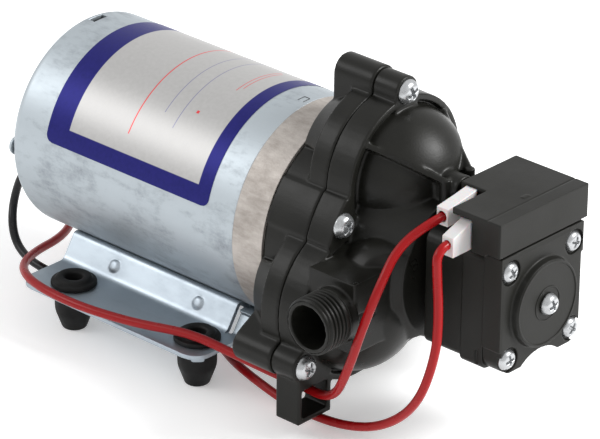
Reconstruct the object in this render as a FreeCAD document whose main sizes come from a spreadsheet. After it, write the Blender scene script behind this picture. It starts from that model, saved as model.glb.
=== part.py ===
import FreeCAD, Part
import Sketcher
import math
import os

# Diaphragm water pump: a permanent magnet motor on a sprung steel cradle drives a wobble
# plate with three pistons. The pump head carries two threaded ports and a pressure switch.
# +X runs along the motor axis towards the switch, +Z is up, and the origin is the centre
# of the four feet on the surface that they stand on. Lengths are in millimetres.

SIZES = (
    ("axis_height", 58.5, "motor axis above the surface under the feet"),
    ("gap", 0.3, "air between soft or loosely fitted neighbours"),
    ("running_gap", 0.05, "radial clearance of a running fit"),
    ("foot_pitch_x", 63, "feet, centre to centre along the motor"),
    ("foot_pitch_y", 92, "feet, centre to centre across the motor"),
    ("foot_cone_height", 15.9, "rubber below the cradle flange"),
    ("foot_cap_height", 3.4, "rubber above the cradle flange"),
    ("foot_cap_radius", 8.6, "rubber cap that covers the flange hole"),
    ("foot_neck_radius", 5, "groove that grips the flange"),
    ("foot_cone_radius", 7.2, "rubber cone under the flange"),
    ("foot_sole_radius", 4.5, "flat underside of the cone"),
    ("foot_bore", 2.4, "radius of the mounting screw hole"),
    ("foot_recess", 3.3, "radius of the recess for the screw head"),
    ("plate_thickness", 1.6, "zinc plated steel of the cradle"),
    ("plate_rear", -48.5, "rear edge of the cradle"),
    ("plate_length", 91.2, "cradle, rear edge to front edge"),
    ("plate_half_width", 58.3, "cradle centre line to flange edge"),
    ("bend_half_width", 34.5, "centre line to the foot of the cradle wall"),
    ("saddle_angle", 37, "half angle of the saddle under the can"),
    ("ridge_lift", 3.4, "ridge beyond the end of the saddle"),
    ("can_rear", -69.3, "rear face of the motor can"),
    ("can_length", 113.5, "drawn can, rear face to seam"),
    ("can_radius", 41.4, "drawn can, outside"),
    ("can_wall", 1.5, "drawn can, steel thickness"),
    ("can_corner", 4, "rounded rear edge of the can"),
    ("bell_length", 14.2, "cast end bell that shows in front of the seam"),
    ("bell_spigot", 5, "end bell inside the can"),
    ("bell_wall", 4, "end bell front wall"),
    ("shaft_radius", 4, "motor shaft"),
    ("bearing_radius", 11, "ball bearings, outside"),
    ("bearing_width", 7, "ball bearings"),
    ("magnet_thickness", 7, "ferrite magnets"),
    ("magnet_length", 58, "ferrite magnets"),
    ("magnet_angle", 132, "arc of one magnet"),
    ("air_gap", 0.6, "armature to magnets"),
    ("core_rear", 36, "rear face of the can to the armature core"),
    ("core_length", 50, "laminated armature core"),
    ("slot_count", 12, "armature slots"),
    ("slot_width", 4, "armature slots"),
    ("slot_depth", 9, "armature slots"),
    ("commutator_radius", 13, "commutator"),
    ("commutator_length", 15, "commutator"),
    ("brush_length", 15, "carbon brushes, outwards from the commutator"),
    ("brush_width", 6, "carbon brushes along the shaft"),
    ("brush_half_height", 4, "carbon brushes"),
    ("guide_start", 6, "brush guides, commutator to their inner ends"),
    ("guide_length", 14, "brush guides"),
    ("guide_wall", 1.4, "brush guides beside the brush"),
    ("card_thickness", 2, "brush card"),
    ("bolt_radius", 2, "motor through bolts"),
    ("bolt_inset", 4, "motor through bolts, their centres inside the can's outline"),
    ("grommet_radius", 5, "lead grommet in the rear face of the can"),
    ("grommet_side", 14, "lead grommet beside the motor axis"),
    ("grommet_inset", 15.4, "lead grommet, its centre above the can's lowest line"),
    ("lead_pitch", 5, "the two motor leads in the grommet"),
    ("housing_depth", 19.3, "lower housing, bell to parting line"),
    ("flange_depth", 11, "upper housing, parting line to the screw faces"),
    ("rim_lip", 2.5, "lip round the front of the upper housing"),
    ("groove_depth", 2, "channel between that lip and the domes"),
    ("boss_setback", 1.2, "bell to the rear ends of the corner bosses"),
    ("rim_radius", 29.4, "rim of each of the pump head's three lobes, about its piston"),
    ("band_width", 8.5, "raised rim of the lower housing"),
    ("flare_rear", 21.4, "lobes of the lower housing where they meet the bell"),
    ("flare_front", 27.4, "lobes of the lower housing where they meet its raised rim"),
    ("neck_in", 0.6, "waist between the lobes, inside the can's outline"),
    ("pad_half_width", 9, "screw pad on the near side of the waist"),
    ("boss_radius", 6.4, "corner screw bosses"),
    ("corner_circle", 59.3, "corner screws, distance from the axis"),
    ("side_circle", 37.6, "side screws, distance from the axis"),
    ("screw_head_radius", 4.75, "pan heads"),
    ("screw_head_height", 3.1, "pan heads"),
    ("screw_radius", 1.9, "housing screw shanks"),
    ("screw_length", 24, "housing screws under the head"),
    ("dome_radius", 25.2, "pump chamber domes, outside"),
    ("dome_step", 2.2, "lower flanks of the domes, set back under the ribs"),
    ("dome_wall", 2, "lower flanks of the domes"),
    ("dome_setback", 3.2, "dome centres behind the screw faces"),
    ("chamber_depth", 5.3, "ceiling of the chambers in front of the screw faces"),
    ("outlet_wall", 12, "wall round the outlet in the middle of the head"),
    ("hub_radius", 27, "middle of the pump head"),
    ("hub_length", 23.5, "screw faces to the front of the hub"),
    ("neck_radius", 14, "spigot that carries the pressure switch"),
    ("neck_length", 4, "hub to pressure switch"),
    ("rib_start_y", 21.6, "ribs beside the top dome, at the rim"),
    ("rib_start_z", 46.6, "ribs at the rim, above the motor axis"),
    ("rib_end_y", 6.4, "ribs beside the top dome, at the switch end"),
    ("rib_end_z", 34.7, "ribs at the switch end, above the motor axis"),
    ("rib_overrun", 2.4, "ribs in front of the hub"),
    ("rib_thickness", 2.2, "ribs beside the top dome"),
    ("manifold_radius", 20, "cross passage between the ports"),
    ("manifold_half", 38, "cross passage, centre line to its round ends"),
    ("manifold_round", 13, "rounding of those ends"),
    ("port_advance", 12.4, "screw faces to the port axis"),
    ("port_drop", 5, "port axis below the motor axis"),
    ("port_half_span", 63.5, "centre line to the port mouths"),
    ("port_thread_radius", 9.6, "port spigot at the root of its thread"),
    ("port_thread_length", 14.5, "port spigot"),
    ("port_collar", 5, "plain collar of the spigot next to its block"),
    ("port_collar_radius", 10.2, "that collar"),
    ("port_block_half", 13.5, "square block behind the thread, half height"),
    ("port_block_rear", 13.1, "square block behind the port axis"),
    ("port_block_front", 8, "square block in front of the port axis"),
    ("port_bore", 8, "radius of the water way in the ports"),
    ("bore_depth", 26, "wide part of the water way, from the mouth"),
    ("bore_wall", 13.5, "centre line to the inner end of the near water way"),
    ("clip_width", 17, "lead clip across the head"),
    ("clip_near", 54.2, "centre line to the near face of the lead clip"),
    ("clip_bottom", 6.5, "underside of the lead clip"),
    ("clip_wall", 2, "lead clip"),
    ("clip_window", 11, "height of the window in the lead clip"),
    ("cavity_radius", 33, "drive cavity of the lower housing"),
    ("lobe_radius", 14.5, "drive cavity around each piston"),
    ("piston_circle", 28, "pistons, distance from the axis"),
    ("piston_radius", 11.5, "piston heads"),
    ("piston_thickness", 1.6, "piston heads"),
    ("piston_stem_radius", 4, "piston stems"),
    ("diaphragm_thickness", 1.5, "rubber diaphragm"),
    ("diaphragm_radius", 45, "rubber diaphragm"),
    ("diaphragm_flat", 37.6, "diaphragm and valve plate at the near side"),
    ("outlet_valve_radius", 9, "rubber outlet valve in the middle of the valve plate"),
    ("outlet_hole_circle", 7, "outlet holes under that valve, distance from the axis"),
    ("valve_plate_depth", 5, "valve plate"),
    ("valve_plate_floor", 1.6, "valve plate behind the cups"),
    ("cam_radius", 9, "drive cam on the shaft"),
    ("cam_length", 9, "drive cam"),
    ("cam_throw", 1.2, "offset of the cam journal"),
    ("wobble_hub_radius", 15.5, "ring of the wobble plate"),
    ("wobble_thickness", 3.4, "arms of the wobble plate"),
    ("switch_rear_half", 20, "rear body of the pressure switch, half width"),
    ("switch_rear_length", 17.4, "rear body of the pressure switch"),
    ("switch_mid_half", 21.2, "middle body of the pressure switch, half width"),
    ("switch_mid_length", 10.2, "middle body of the pressure switch"),
    ("switch_plate_half", 22, "front plate of the pressure switch, half width"),
    ("switch_plate_depth", 8.4, "front plate of the pressure switch"),
    ("switch_screw_pitch", 33.6, "pressure switch screws, both ways"),
    ("switch_screw_head", 4.1, "radius of the pressure switch screw heads"),
    ("switch_screw_shank", 1.6, "radius of the pressure switch screws"),
    ("switch_screw_height", 2.8, "heads of the pressure switch screws"),
    ("switch_screw_length", 20, "pressure switch screws under the head"),
    ("cap_radius", 16.6, "round cap on the front plate"),
    ("cap_depth", 2.6, "cap in front of the plate"),
    ("adjuster_radius", 4.1, "head of the pressure adjusting screw"),
    ("adjuster_head", 3, "head of the pressure adjusting screw"),
    ("adjuster_shank", 2, "thread of the pressure adjusting screw"),
    ("cover_half", 23.6, "terminal cover, half width"),
    ("cover_top", 37, "terminal cover top above the motor axis"),
    ("cover_skirt", 14, "height of the terminal cover's sides"),
    ("cover_wall", 1.6, "terminal cover"),
    ("cover_length", 33, "terminal cover, rear edge to front face"),
    ("notch_length", 11.5, "corner cut out of the terminal cover"),
    ("notch_inner", -5.8, "inner side of that cut-out"),
    ("seal_radius", 12, "pressure switch diaphragm"),
    ("plunger_travel", 1.2, "stroke of the switch plunger"),
    ("plunger_disc", 5.6, "thickness of the switch plunger's disc"),
    ("plunger_stem", 2.6, "radius of the stem inside the switch spring"),
    ("plunger_stem_length", 6, "that stem in front of the disc"),
    ("plunger_arm", 3, "half width of the plunger's arm, and its thickness"),
    ("ramp_height", 21, "motor axis to the ramp on the plunger's arm"),
    ("spring_radius", 6, "switch spring, middle of the wire"),
    ("spring_wire", 0.6, "switch spring, radius of the wire"),
    ("spring_turns", 5, "switch spring"),
    ("micro_length", 20, "micro switch along the motor axis"),
    ("micro_far", 13, "centre line to the far face of the micro switch"),
    ("micro_low", 24.4, "motor axis to the underside of the micro switch"),
    ("button_radius", 1.5, "micro switch button"),
    ("terminal_step", 12, "one flat terminal to the other along the motor axis"),
    ("upper_terminal_height", 30.5, "motor axis to the upper flat terminal"),
    ("lower_terminal_height", 26.9, "motor axis to the lower flat terminal"),
    ("blade_width", 6.3, "flat terminals"),
    ("blade_thickness", 0.8, "flat terminals"),
    ("sleeve_thickness", 4.6, "nylon terminal sleeves"),
    ("sleeve_length", 14, "nylon terminal sleeves"),
    ("sleeve_tall", 9, "nylon terminal sleeves at the blade"),
    ("sleeve_short", 5.8, "nylon terminal sleeves at the lead"),
    ("valve_travel", 3, "stroke of the check valve"),
    ("valve_radius", 6.6, "check valve disc"),
    ("valve_thickness", 2, "check valve disc"),
    ("valve_stem", 1.6, "radius of the check valve's stem"),
    ("valve_spring_radius", 4.2, "check valve spring, middle of the wire"),
    ("valve_wire", 0.45, "check valve spring, radius of the wire"),
    ("guide_thickness", 2, "guide disc of the check valve"),
    ("lead_radius", 1.65, "leads over their insulation"),
)

doc = FreeCAD.newDocument("WaterPump")
sheet = doc.addObject("Spreadsheet::Sheet", "Sizes")
for row, (alias, value, meaning) in enumerate(SIZES, start=1):
    sheet.set("A%d" % row, alias)
    sheet.set("B%d" % row, str(value))
    sheet.set("C%d" % row, meaning)
    sheet.setAlias("B%d" % row, alias)
doc.recompute()

NODES = []


def bound(text):
    """Expression text for use outside the sheet: each alias gets the sheet's name."""
    for alias in ALIASES:
        text = text.replace("{%s}" % alias, "Sizes." + alias)
    return "(" + text + ")"


ALIASES = [alias for alias, value, meaning in SIZES]


def number(expression):
    """The value in millimetres or degrees of a bound expression."""
    return float(sheet.evalExpression(expression.replace("Sizes.", "")))


def bind(item, prop, expression):
    item.setExpression(prop, expression)


def place(item, x="0", y="0", z="0"):
    """Hold an item's base point at three bound coordinates."""
    for letter, expression in zip("xyz", (x, y, z)):
        bind(item, "Placement.Base." + letter, expression)
    return item


TURNS = {
    "X": FreeCAD.Rotation(FreeCAD.Vector(0, 1, 0), 90),
    "Y": FreeCAD.Rotation(FreeCAD.Vector(1, 0, 0), -90),
    "Z": FreeCAD.Rotation(),
}


def cylinder(axis, radius, length, x="0", y="0", z="0"):
    """A cylinder that starts at x, y, z and runs along +axis."""
    item = doc.addObject("Part::Cylinder", "Cylinder")
    bind(item, "Radius", radius)
    bind(item, "Height", length)
    item.Placement = FreeCAD.Placement(FreeCAD.Vector(), TURNS[axis])
    return place(item, x, y, z)


def cone(axis, first, second, length, x="0", y="0", z="0"):
    """A cone from the first radius to the second along +axis."""
    item = doc.addObject("Part::Cone", "Cone")
    bind(item, "Radius1", first)
    bind(item, "Radius2", second)
    bind(item, "Height", length)
    item.Placement = FreeCAD.Placement(FreeCAD.Vector(), TURNS[axis])
    return place(item, x, y, z)


def ball(radius, x, y, z):
    item = doc.addObject("Part::Sphere", "Ball")
    bind(item, "Radius", radius)
    return place(item, x, y, z)


def block(x, y, z):
    """A box between pairs of bound coordinates."""
    item = doc.addObject("Part::Box", "Block")
    for prop, (low, high) in zip(("Length", "Width", "Height"), (x, y, z)):
        bind(item, prop, "(%s) - (%s)" % (high, low))
    return place(item, x[0], y[0], z[0])


def fuse(*items):
    item = doc.addObject("Part::MultiFuse", "Fuse")
    item.Shapes = list(items)
    item.Refine = True
    return item


def cut(body, *tools):
    item = doc.addObject("Part::Cut", "Cut")
    item.Base = body
    item.Tool = tools[0] if len(tools) == 1 else fuse(*tools)
    item.Refine = True
    return item


def common(first, second):
    item = doc.addObject("Part::Common", "Common")
    item.Base = first
    item.Tool = second
    item.Refine = True
    return item


def group(*items):
    """Several separate solids that share one sub-part."""
    item = doc.addObject("Part::Compound", "Group")
    item.Links = list(items)
    return item


def feature(shape):
    """A sub-part whose shape Part's own functions made."""
    item = doc.addObject("Part::Feature", "Shape")
    item.Shape = shape
    return item


def node(label, item):
    """Name a finished sub-part, which is then checked and exported."""
    item.Label = label
    NODES.append(item)
    return item


def origin_plane(body, role):
    return [plane for plane in body.Origin.OriginFeatures if plane.Role == role][0]


def sketch_on(body, role):
    sketch = body.newObject("Sketcher::SketchObject", "Sketch")
    sketch.AttachmentSupport = (origin_plane(body, role), [""])
    sketch.MapMode = "FlatFace"
    return sketch


def polygon(sketch, corners):
    """A closed outline whose corners are pairs of bound coordinates; "0" lies on an axis."""
    first = sketch.GeometryCount
    count = len(corners)
    points = [FreeCAD.Vector(number(a), number(b), 0) for a, b in corners]
    for k in range(count):
        sketch.addGeometry(Part.LineSegment(points[k], points[(k + 1) % count]))
    for k in range(count):
        sketch.addConstraint(Sketcher.Constraint("Coincident", first + k, 2, first + (k + 1) % count, 1))
    for k, corner in enumerate(corners):
        for kind, axis, expression in (("DistanceX", -2, corner[0]), ("DistanceY", -1, corner[1])):
            if expression == "0":
                sketch.addConstraint(Sketcher.Constraint("PointOnObject", first + k, 1, axis))
                continue
            value = points[k].x if kind == "DistanceX" else points[k].y
            index = sketch.addConstraint(Sketcher.Constraint(kind, -1, 1, first + k, 1, value))
            sketch.setExpression("Constraints[%d]" % index, expression)


def circle(sketch, radius, u="0", v="0"):
    """A circle with a bound radius and centre."""
    centre = FreeCAD.Vector(number(u), number(v), 0)
    geo = sketch.addGeometry(Part.Circle(centre, FreeCAD.Vector(0, 0, 1), number(radius)))
    index = sketch.addConstraint(Sketcher.Constraint("Radius", geo, number(radius)))
    sketch.setExpression("Constraints[%d]" % index, radius)
    for kind, axis, expression, value in (("DistanceX", -2, u, centre.x), ("DistanceY", -1, v, centre.y)):
        if expression == "0":
            sketch.addConstraint(Sketcher.Constraint("PointOnObject", geo, 3, axis))
            continue
        index = sketch.addConstraint(Sketcher.Constraint(kind, -1, 1, geo, 3, value))
        sketch.setExpression("Constraints[%d]" % index, expression)


def turned(outlines, x, y, z, upright=False):
    """A body turned from outlines of (along, radius) corners.

    It turns about a line along X through x, y, z, or about a line along Z if upright.
    """
    body = doc.addObject("PartDesign::Body", "Turned")
    sketch = sketch_on(body, "XZ_Plane")
    for outline in outlines:
        corners = [(b, a) for a, b in outline] if upright else outline
        polygon(sketch, corners)
    turn = body.newObject("PartDesign::Revolution", "Turn")
    turn.Profile = sketch
    turn.ReferenceAxis = (sketch, ["V_Axis" if upright else "H_Axis"])
    turn.Angle = 360
    return place(body, x, y, z)


def at(radius, degrees):
    """Bound offsets (y, z) of a point at a radius and an angle about the motor axis."""
    angle = math.radians(degrees)
    return ("%s * %.6f" % (radius, math.cos(angle)), AXIS + " + %s * %.6f" % (radius, math.sin(angle)))


# Stations along the motor axis, each counted from the one behind it.
AXIS = bound("{axis_height}")
CAN_REAR = bound("{can_rear}")
CAN_FRONT = bound("{can_rear} + {can_length}")
BELL_FRONT = bound("{can_rear} + {can_length} + {bell_length}")
PARTING = BELL_FRONT + " + " + bound("{housing_depth}")
SCREW_FACE = PARTING + " + " + bound("{flange_depth}")
DOME_X = SCREW_FACE + " - " + bound("{dome_setback}")
HUB_FRONT = SCREW_FACE + " + " + bound("{hub_length}")
SWITCH_REAR = HUB_FRONT + " + " + bound("{neck_length}")
SWITCH_MID = SWITCH_REAR + " + " + bound("{switch_rear_length}")
SWITCH_PLATE = SWITCH_MID + " + " + bound("{switch_mid_length}")
SWITCH_FRONT = SWITCH_PLATE + " + " + bound("{switch_plate_depth}")
CAP_FRONT = SWITCH_FRONT + " + " + bound("{cap_depth}")
PORT_X = SCREW_FACE + " + " + bound("{port_advance}")
PORT_Z = bound("{axis_height} - {port_drop}")
FLANGE_TOP = bound("{foot_cone_height} + {plate_thickness}")
GROMMET_RADIUS = bound("{grommet_radius}")
GROMMET_SIDE = bound("{grommet_side}")
GROMMET_DROP = bound("{can_radius} - {grommet_inset}")
GAP = bound("{gap}")


# Motor
def motor_can():
    inner = bound("{can_radius} - {can_wall}")
    ring = bound("{bearing_radius} + 1.6")
    body = turned([[
        ("0", "0"),
        ("0", bound("{can_radius}")),
        (bound("{can_length}"), bound("{can_radius}")),
        (bound("{can_length}"), inner),
        (bound("{can_wall}"), inner),
        (bound("{can_wall}"), ring),
        (bound("{can_wall} + {bearing_width}"), ring),
        (bound("{can_wall} + {bearing_width}"), bound("{bearing_radius}")),
        (bound("{can_wall}"), bound("{bearing_radius}")),
        (bound("{can_wall}"), "0"),
    ]], CAN_REAR, "0", AXIS)
    doc.recompute()
    rear_edge = [
        "Edge%d" % (k + 1) for k, edge in enumerate(body.Shape.Edges)
        if hasattr(edge.Curve, "Radius")
        and abs(edge.Curve.Radius - number(bound("{can_radius}"))) < 0.01
        and edge.CenterOfMass.x < number(CAN_REAR) + 1
    ]
    shell = body.Tip
    rounding = body.newObject("PartDesign::Fillet", "Rounding")
    rounding.Base = (shell, rear_edge)
    bind(rounding, "Radius", bound("{can_corner}"))
    doc.recompute()
    slot = sketch_on(body, "XY_Plane")
    polygon(slot, [
        (bound("{can_corner}"), bound("-3.5")),
        (bound("{can_corner} + 3"), bound("-3.5")),
        (bound("{can_corner} + 3"), bound("3.5")),
        (bound("{can_corner}"), bound("3.5")),
    ])
    vents = body.newObject("PartDesign::Pocket", "Vents")
    vents.Profile = slot
    vents.Type = "ThroughAll"
    vents.Midplane = True
    holes = body.newObject("PartDesign::Pocket", "BoltHoles")
    rear = sketch_on(body, "YZ_Plane")
    for side in (-1, 1):
        circle(rear, bound("{bolt_radius} + {gap}"), bound("({can_radius} - {bolt_inset}) * %d" % side),
               "0")
    holes.Profile = rear
    bind(holes, "Length", bound("{can_wall} + 4"))
    holes.Reversed = True
    leads = body.newObject("PartDesign::Pocket", "LeadHole")
    low = sketch_on(body, "YZ_Plane")
    circle(low, GROMMET_RADIUS, GROMMET_SIDE, "-1 * " + GROMMET_DROP)
    leads.Profile = low
    bind(leads, "Length", bound("{can_wall} + 1"))
    leads.Reversed = True
    doc.recompute()
    return node("motor_can", body)


def end_bell():
    skin = bound("{can_radius} - {can_wall} - {running_gap}")
    step = bound("{bell_spigot}")
    front = bound("{bell_spigot} + {bell_length}")
    seat = bound("{bell_spigot} + {bell_length} - 2 - {bearing_width}")
    body = turned([[
        ("0", bound("{can_radius} - {can_wall} - 4")),
        ("0", skin),
        (step, skin),
        (step, bound("{can_radius}")),
        (front, bound("{can_radius}")),
        (front, bound("{shaft_radius} + 2")),
        (bound("{bell_spigot} + {bell_length} - 2"), bound("{shaft_radius} + 2")),
        (bound("{bell_spigot} + {bell_length} - 2"), bound("{bearing_radius}")),
        (seat, bound("{bearing_radius}")),
        (seat, bound("{bearing_radius} + 3")),
        (bound("{bell_spigot} + {bell_length} - {bell_wall}"), bound("{bearing_radius} + 3")),
        (bound("{bell_spigot} + {bell_length} - {bell_wall}"), bound("{can_radius} - {can_wall} - 4")),
    ]], CAN_FRONT + " - " + bound("{bell_spigot}"), "0", AXIS)
    holes = []
    for side in (-1, 1):
        y = bound("({can_radius} - {bolt_inset}) * %d" % side)
        holes.append(cylinder("X", bound("{bolt_radius}"), bound("{bell_spigot} + 9"),
                              CAN_FRONT + " - " + step, y, AXIS))
    return node("end_bell", cut(body, *holes))


def field_magnets():
    outer = bound("{can_radius} - {can_wall}")
    inner = bound("{can_radius} - {can_wall} - {magnet_thickness}")
    start = CAN_REAR + " + " + bound("{core_rear} + ({core_length} - {magnet_length}) / 2")
    arcs = []
    for middle in (90, 270):
        sector = cylinder("X", outer, bound("{magnet_length}"), start, "0", AXIS)
        bind(sector, "Angle", bound("{magnet_angle}"))
        hollow = cylinder("X", inner, bound("{magnet_length}"), start, "0", AXIS)
        arc = cut(sector, hollow)
        # A sector of a cylinder along X starts at -Z and opens towards +Y.
        turn = middle + 90 - number(bound("{magnet_angle}")) / 2
        arc.Placement = FreeCAD.Placement(
            FreeCAD.Vector(), FreeCAD.Rotation(FreeCAD.Vector(1, 0, 0), turn),
            FreeCAD.Vector(0, 0, number(AXIS)))
        arcs.append(arc)
    return node("field_magnets", group(*arcs))


def bearing(label, x):
    """A shielded ball bearing, seen as its two races and the shields between them."""
    width = bound("{bearing_width}")
    bore = bound("{shaft_radius} + {running_gap}")
    body = turned([[
        ("0", bore),
        ("0", bound("{shaft_radius} + 2")),
        (bound("0.5"), bound("{shaft_radius} + 2")),
        (bound("0.5"), bound("{bearing_radius} - 2")),
        ("0", bound("{bearing_radius} - 2")),
        ("0", bound("{bearing_radius}")),
        (width, bound("{bearing_radius}")),
        (width, bound("{bearing_radius} - 2")),
        (bound("{bearing_width} - 0.5"), bound("{bearing_radius} - 2")),
        (bound("{bearing_width} - 0.5"), bound("{shaft_radius} + 2")),
        (width, bound("{shaft_radius} + 2")),
        (width, bore),
    ]], x, "0", AXIS)
    return node(label, body)


CORE_REAR = CAN_REAR + " + " + bound("{core_rear}")
CORE_FRONT = CORE_REAR + " + " + bound("{core_length}")
CORE_RADIUS = bound("{can_radius} - {can_wall} - {magnet_thickness} - {air_gap}")
CAM_REAR = BELL_FRONT + " + 3.4"
CAM_FRONT = CAM_REAR + " + " + bound("{cam_length}")


def motor_shaft():
    start = CAN_REAR + " + " + bound("{can_wall} + {gap}")
    body = turned([[
        ("0", "0"),
        ("0", bound("{shaft_radius}")),
        ("%s - (%s)" % (CORE_REAR, start), bound("{shaft_radius}")),
        ("%s - (%s)" % (CORE_REAR, start), bound("{shaft_radius} + 1")),
        ("%s - (%s)" % (CORE_FRONT, start), bound("{shaft_radius} + 1")),
        ("%s - (%s)" % (CORE_FRONT, start), bound("{shaft_radius}")),
        ("%s - (%s)" % (CAM_FRONT, start), bound("{shaft_radius}")),
        ("%s - (%s)" % (CAM_FRONT, start), "0"),
    ]], start, "0", AXIS)
    return node("motor_shaft", body)


def armature_core():
    body = doc.addObject("PartDesign::Body", "Core")
    face = sketch_on(body, "YZ_Plane")
    circle(face, CORE_RADIUS)
    circle(face, bound("{shaft_radius} + 1"))
    stack = body.newObject("PartDesign::Pad", "Stack")
    stack.Profile = face
    bind(stack, "Length", bound("{core_length}"))
    doc.recompute()
    slot = sketch_on(body, "YZ_Plane")
    half = bound("{slot_width} / 2")
    polygon(slot, [
        (bound("-{slot_width} / 2"), CORE_RADIUS + " - " + bound("{slot_depth}")),
        (half, CORE_RADIUS + " - " + bound("{slot_depth}")),
        (half, CORE_RADIUS + " + 1"),
        (bound("-{slot_width} / 2"), CORE_RADIUS + " + 1"),
    ])
    groove = body.newObject("PartDesign::Pocket", "Slot")
    groove.Profile = slot
    bind(groove, "Length", bound("{core_length} + 1"))
    groove.Reversed = True
    doc.recompute()
    pattern = body.newObject("PartDesign::PolarPattern", "Slots")
    pattern.Originals = [groove]
    pattern.Axis = ([item for item in body.Origin.OriginFeatures if item.Role == "X_Axis"][0], [""])
    pattern.Angle = 360
    bind(pattern, "Occurrences", bound("{slot_count}"))
    body.Tip = pattern
    place(body, CORE_REAR, "0", AXIS)
    return node("armature_core", body)


def armature_windings():
    """End turns of the copper coils, one bundle on each face of the core."""
    bundles = []
    inner = bound("{shaft_radius} + 4")
    outer = CORE_RADIUS + " - 1.5"
    for x, lean in ((CORE_REAR + " - 9", 1), (CORE_FRONT, -1)):
        low = "0" if lean < 0 else bound("3")
        high = bound("9") if lean > 0 else bound("6")
        bundles.append(turned([[
            ("0", inner),
            (low, outer) if lean > 0 else ("0", outer),
            (bound("9"), outer) if lean > 0 else (high, outer),
            (bound("9"), inner),
        ]], x, "0", AXIS))
    return node("armature_windings", group(*bundles))


def commutator():
    front = bound("{commutator_length}")
    body = turned([[
        ("0", bound("{shaft_radius}")),
        ("0", bound("{commutator_radius}")),
        (bound("{commutator_length} - 2.5"), bound("{commutator_radius}")),
        (bound("{commutator_length} - 2.5"), bound("{commutator_radius} + 2")),
        (front, bound("{commutator_radius} + 2")),
        (front, bound("{shaft_radius}")),
    ]], CORE_REAR + " - 9 - " + bound("{commutator_length} + {gap}"), "0", AXIS)
    return node("commutator", body)


BRUSH_X = CORE_REAR + " - 9 - " + bound("{commutator_length} + {gap}") + " + 3"


def brush_gear():
    """Brush card: a moulded disc in the can with a guide for each carbon brush."""
    card_x = BRUSH_X + " - 3.2"
    card = cylinder("X", bound("{can_radius} - {can_wall} - {running_gap}"), bound("{card_thickness}"),
                    card_x,
                    "0", AXIS)
    hole = cylinder("X", bound("{commutator_radius} + 4"), "4", card_x + " - 1", "0", AXIS)
    guides = []
    channels = []
    notches = []
    for side in (-1, 1):
        inner = bound("({commutator_radius} + {guide_start}) * %d" % side)
        outer = bound("({commutator_radius} + {guide_start} + {guide_length}) * %d" % side)
        span = (outer, inner) if side < 0 else (inner, outer)
        high = bound("{brush_half_height} + {guide_wall} + 0.1")
        free = bound("{brush_half_height} + 0.1")
        guides.append(block((card_x + " + " + bound("{card_thickness} - 0.1"),
                             BRUSH_X + " + " + bound("{brush_width} + {guide_wall} + 0.6")), span,
                            (AXIS + " - " + high, AXIS + " + " + high)))
        channels.append(block((BRUSH_X + " - 0.1", BRUSH_X + " + " + bound("{brush_width} + 0.1")),
                              (span[0] + " - 1", span[1] + " + 1"),
                              (AXIS + " - " + free, AXIS + " + " + free)))
        notches.append(cylinder("X", bound("{bolt_radius} + {gap} + 0.2"), "4", card_x + " - 1",
                                bound("({can_radius} - {bolt_inset}) * %d" % side), AXIS))
    node("brush_card", cut(fuse(cut(card, hole), *guides), *channels, *notches))
    brushes = []
    for side in (-1, 1):
        inner = bound("({commutator_radius} + {running_gap}) * %d" % side)
        outer = bound("({commutator_radius} + {brush_length}) * %d" % side)
        span = (outer, inner) if side < 0 else (inner, outer)
        high = bound("{brush_half_height}")
        stick = block((BRUSH_X, BRUSH_X + " + " + bound("{brush_width}")), span,
                      (AXIS + " - " + high, AXIS + " + " + high))
        seat = cylinder("X", bound("{commutator_radius} + {running_gap} * 2"), "8", BRUSH_X + " - 1", "0",
                        AXIS)
        brushes.append(cut(stick, seat))
    node("carbon_brushes", group(*brushes))


def through_bolts():
    """Two long bolts that pull the can and the end bell together."""
    bolts = []
    for side in (-1, 1):
        y = bound("({can_radius} - {bolt_inset}) * %d" % side)
        shank = cylinder("X", bound("{bolt_radius}"), bound("{can_length} + 7"), CAN_REAR, y, AXIS)
        head = cylinder("X", bound("{bolt_radius} * 1.9"), "2.2", CAN_REAR + " - 2.2", y, AXIS)
        bolts.append(fuse(shank, head))
    return node("through_bolts", group(*bolts))


def lead_grommet():
    """Rubber grommet with a hole for each motor lead."""
    body = turned([[
        ("0", "0"),
        ("0", bound("{grommet_radius} + 1.4")),
        (bound("2"), bound("{grommet_radius} + 1.4")),
        (bound("2"), GROMMET_RADIUS),
        (bound("2 + {can_wall}"), GROMMET_RADIUS),
        (bound("2 + {can_wall}"), "0"),
    ]], CAN_REAR + " - 2", GROMMET_SIDE, AXIS + " - " + GROMMET_DROP)
    holes = [cylinder("X", bound("{lead_radius} + 0.1"), "8", CAN_REAR + " - 3",
                      bound("{grommet_side} + {lead_pitch} / 2 * %d" % side), AXIS + " - " + GROMMET_DROP)
             for side in (-1, 1)]
    return node("lead_grommet", cut(body, *holes))


# Cradle and feet
def rounded_wire(points, radii):
    """Straight runs through the points, joined by arcs of the given radii that touch both."""
    edges = []
    here = points[0]
    for k in range(1, len(points) - 1):
        corner = points[k]
        back = (points[k - 1] - corner).normalize()
        ahead = (points[k + 1] - corner).normalize()
        half = back.getAngle(ahead) / 2
        reach = radii[k - 1] / math.tan(half)
        start = corner + back * reach
        finish = corner + ahead * reach
        centre = corner + (back + ahead).normalize() * (radii[k - 1] / math.sin(half))
        middle = centre + (corner - centre).normalize() * radii[k - 1]
        edges.append(Part.LineSegment(here, start).toShape())
        edges.append(Part.Arc(start, middle, finish).toShape())
        here = finish
    edges.append(Part.LineSegment(here, points[-1]).toShape())
    return edges


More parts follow.
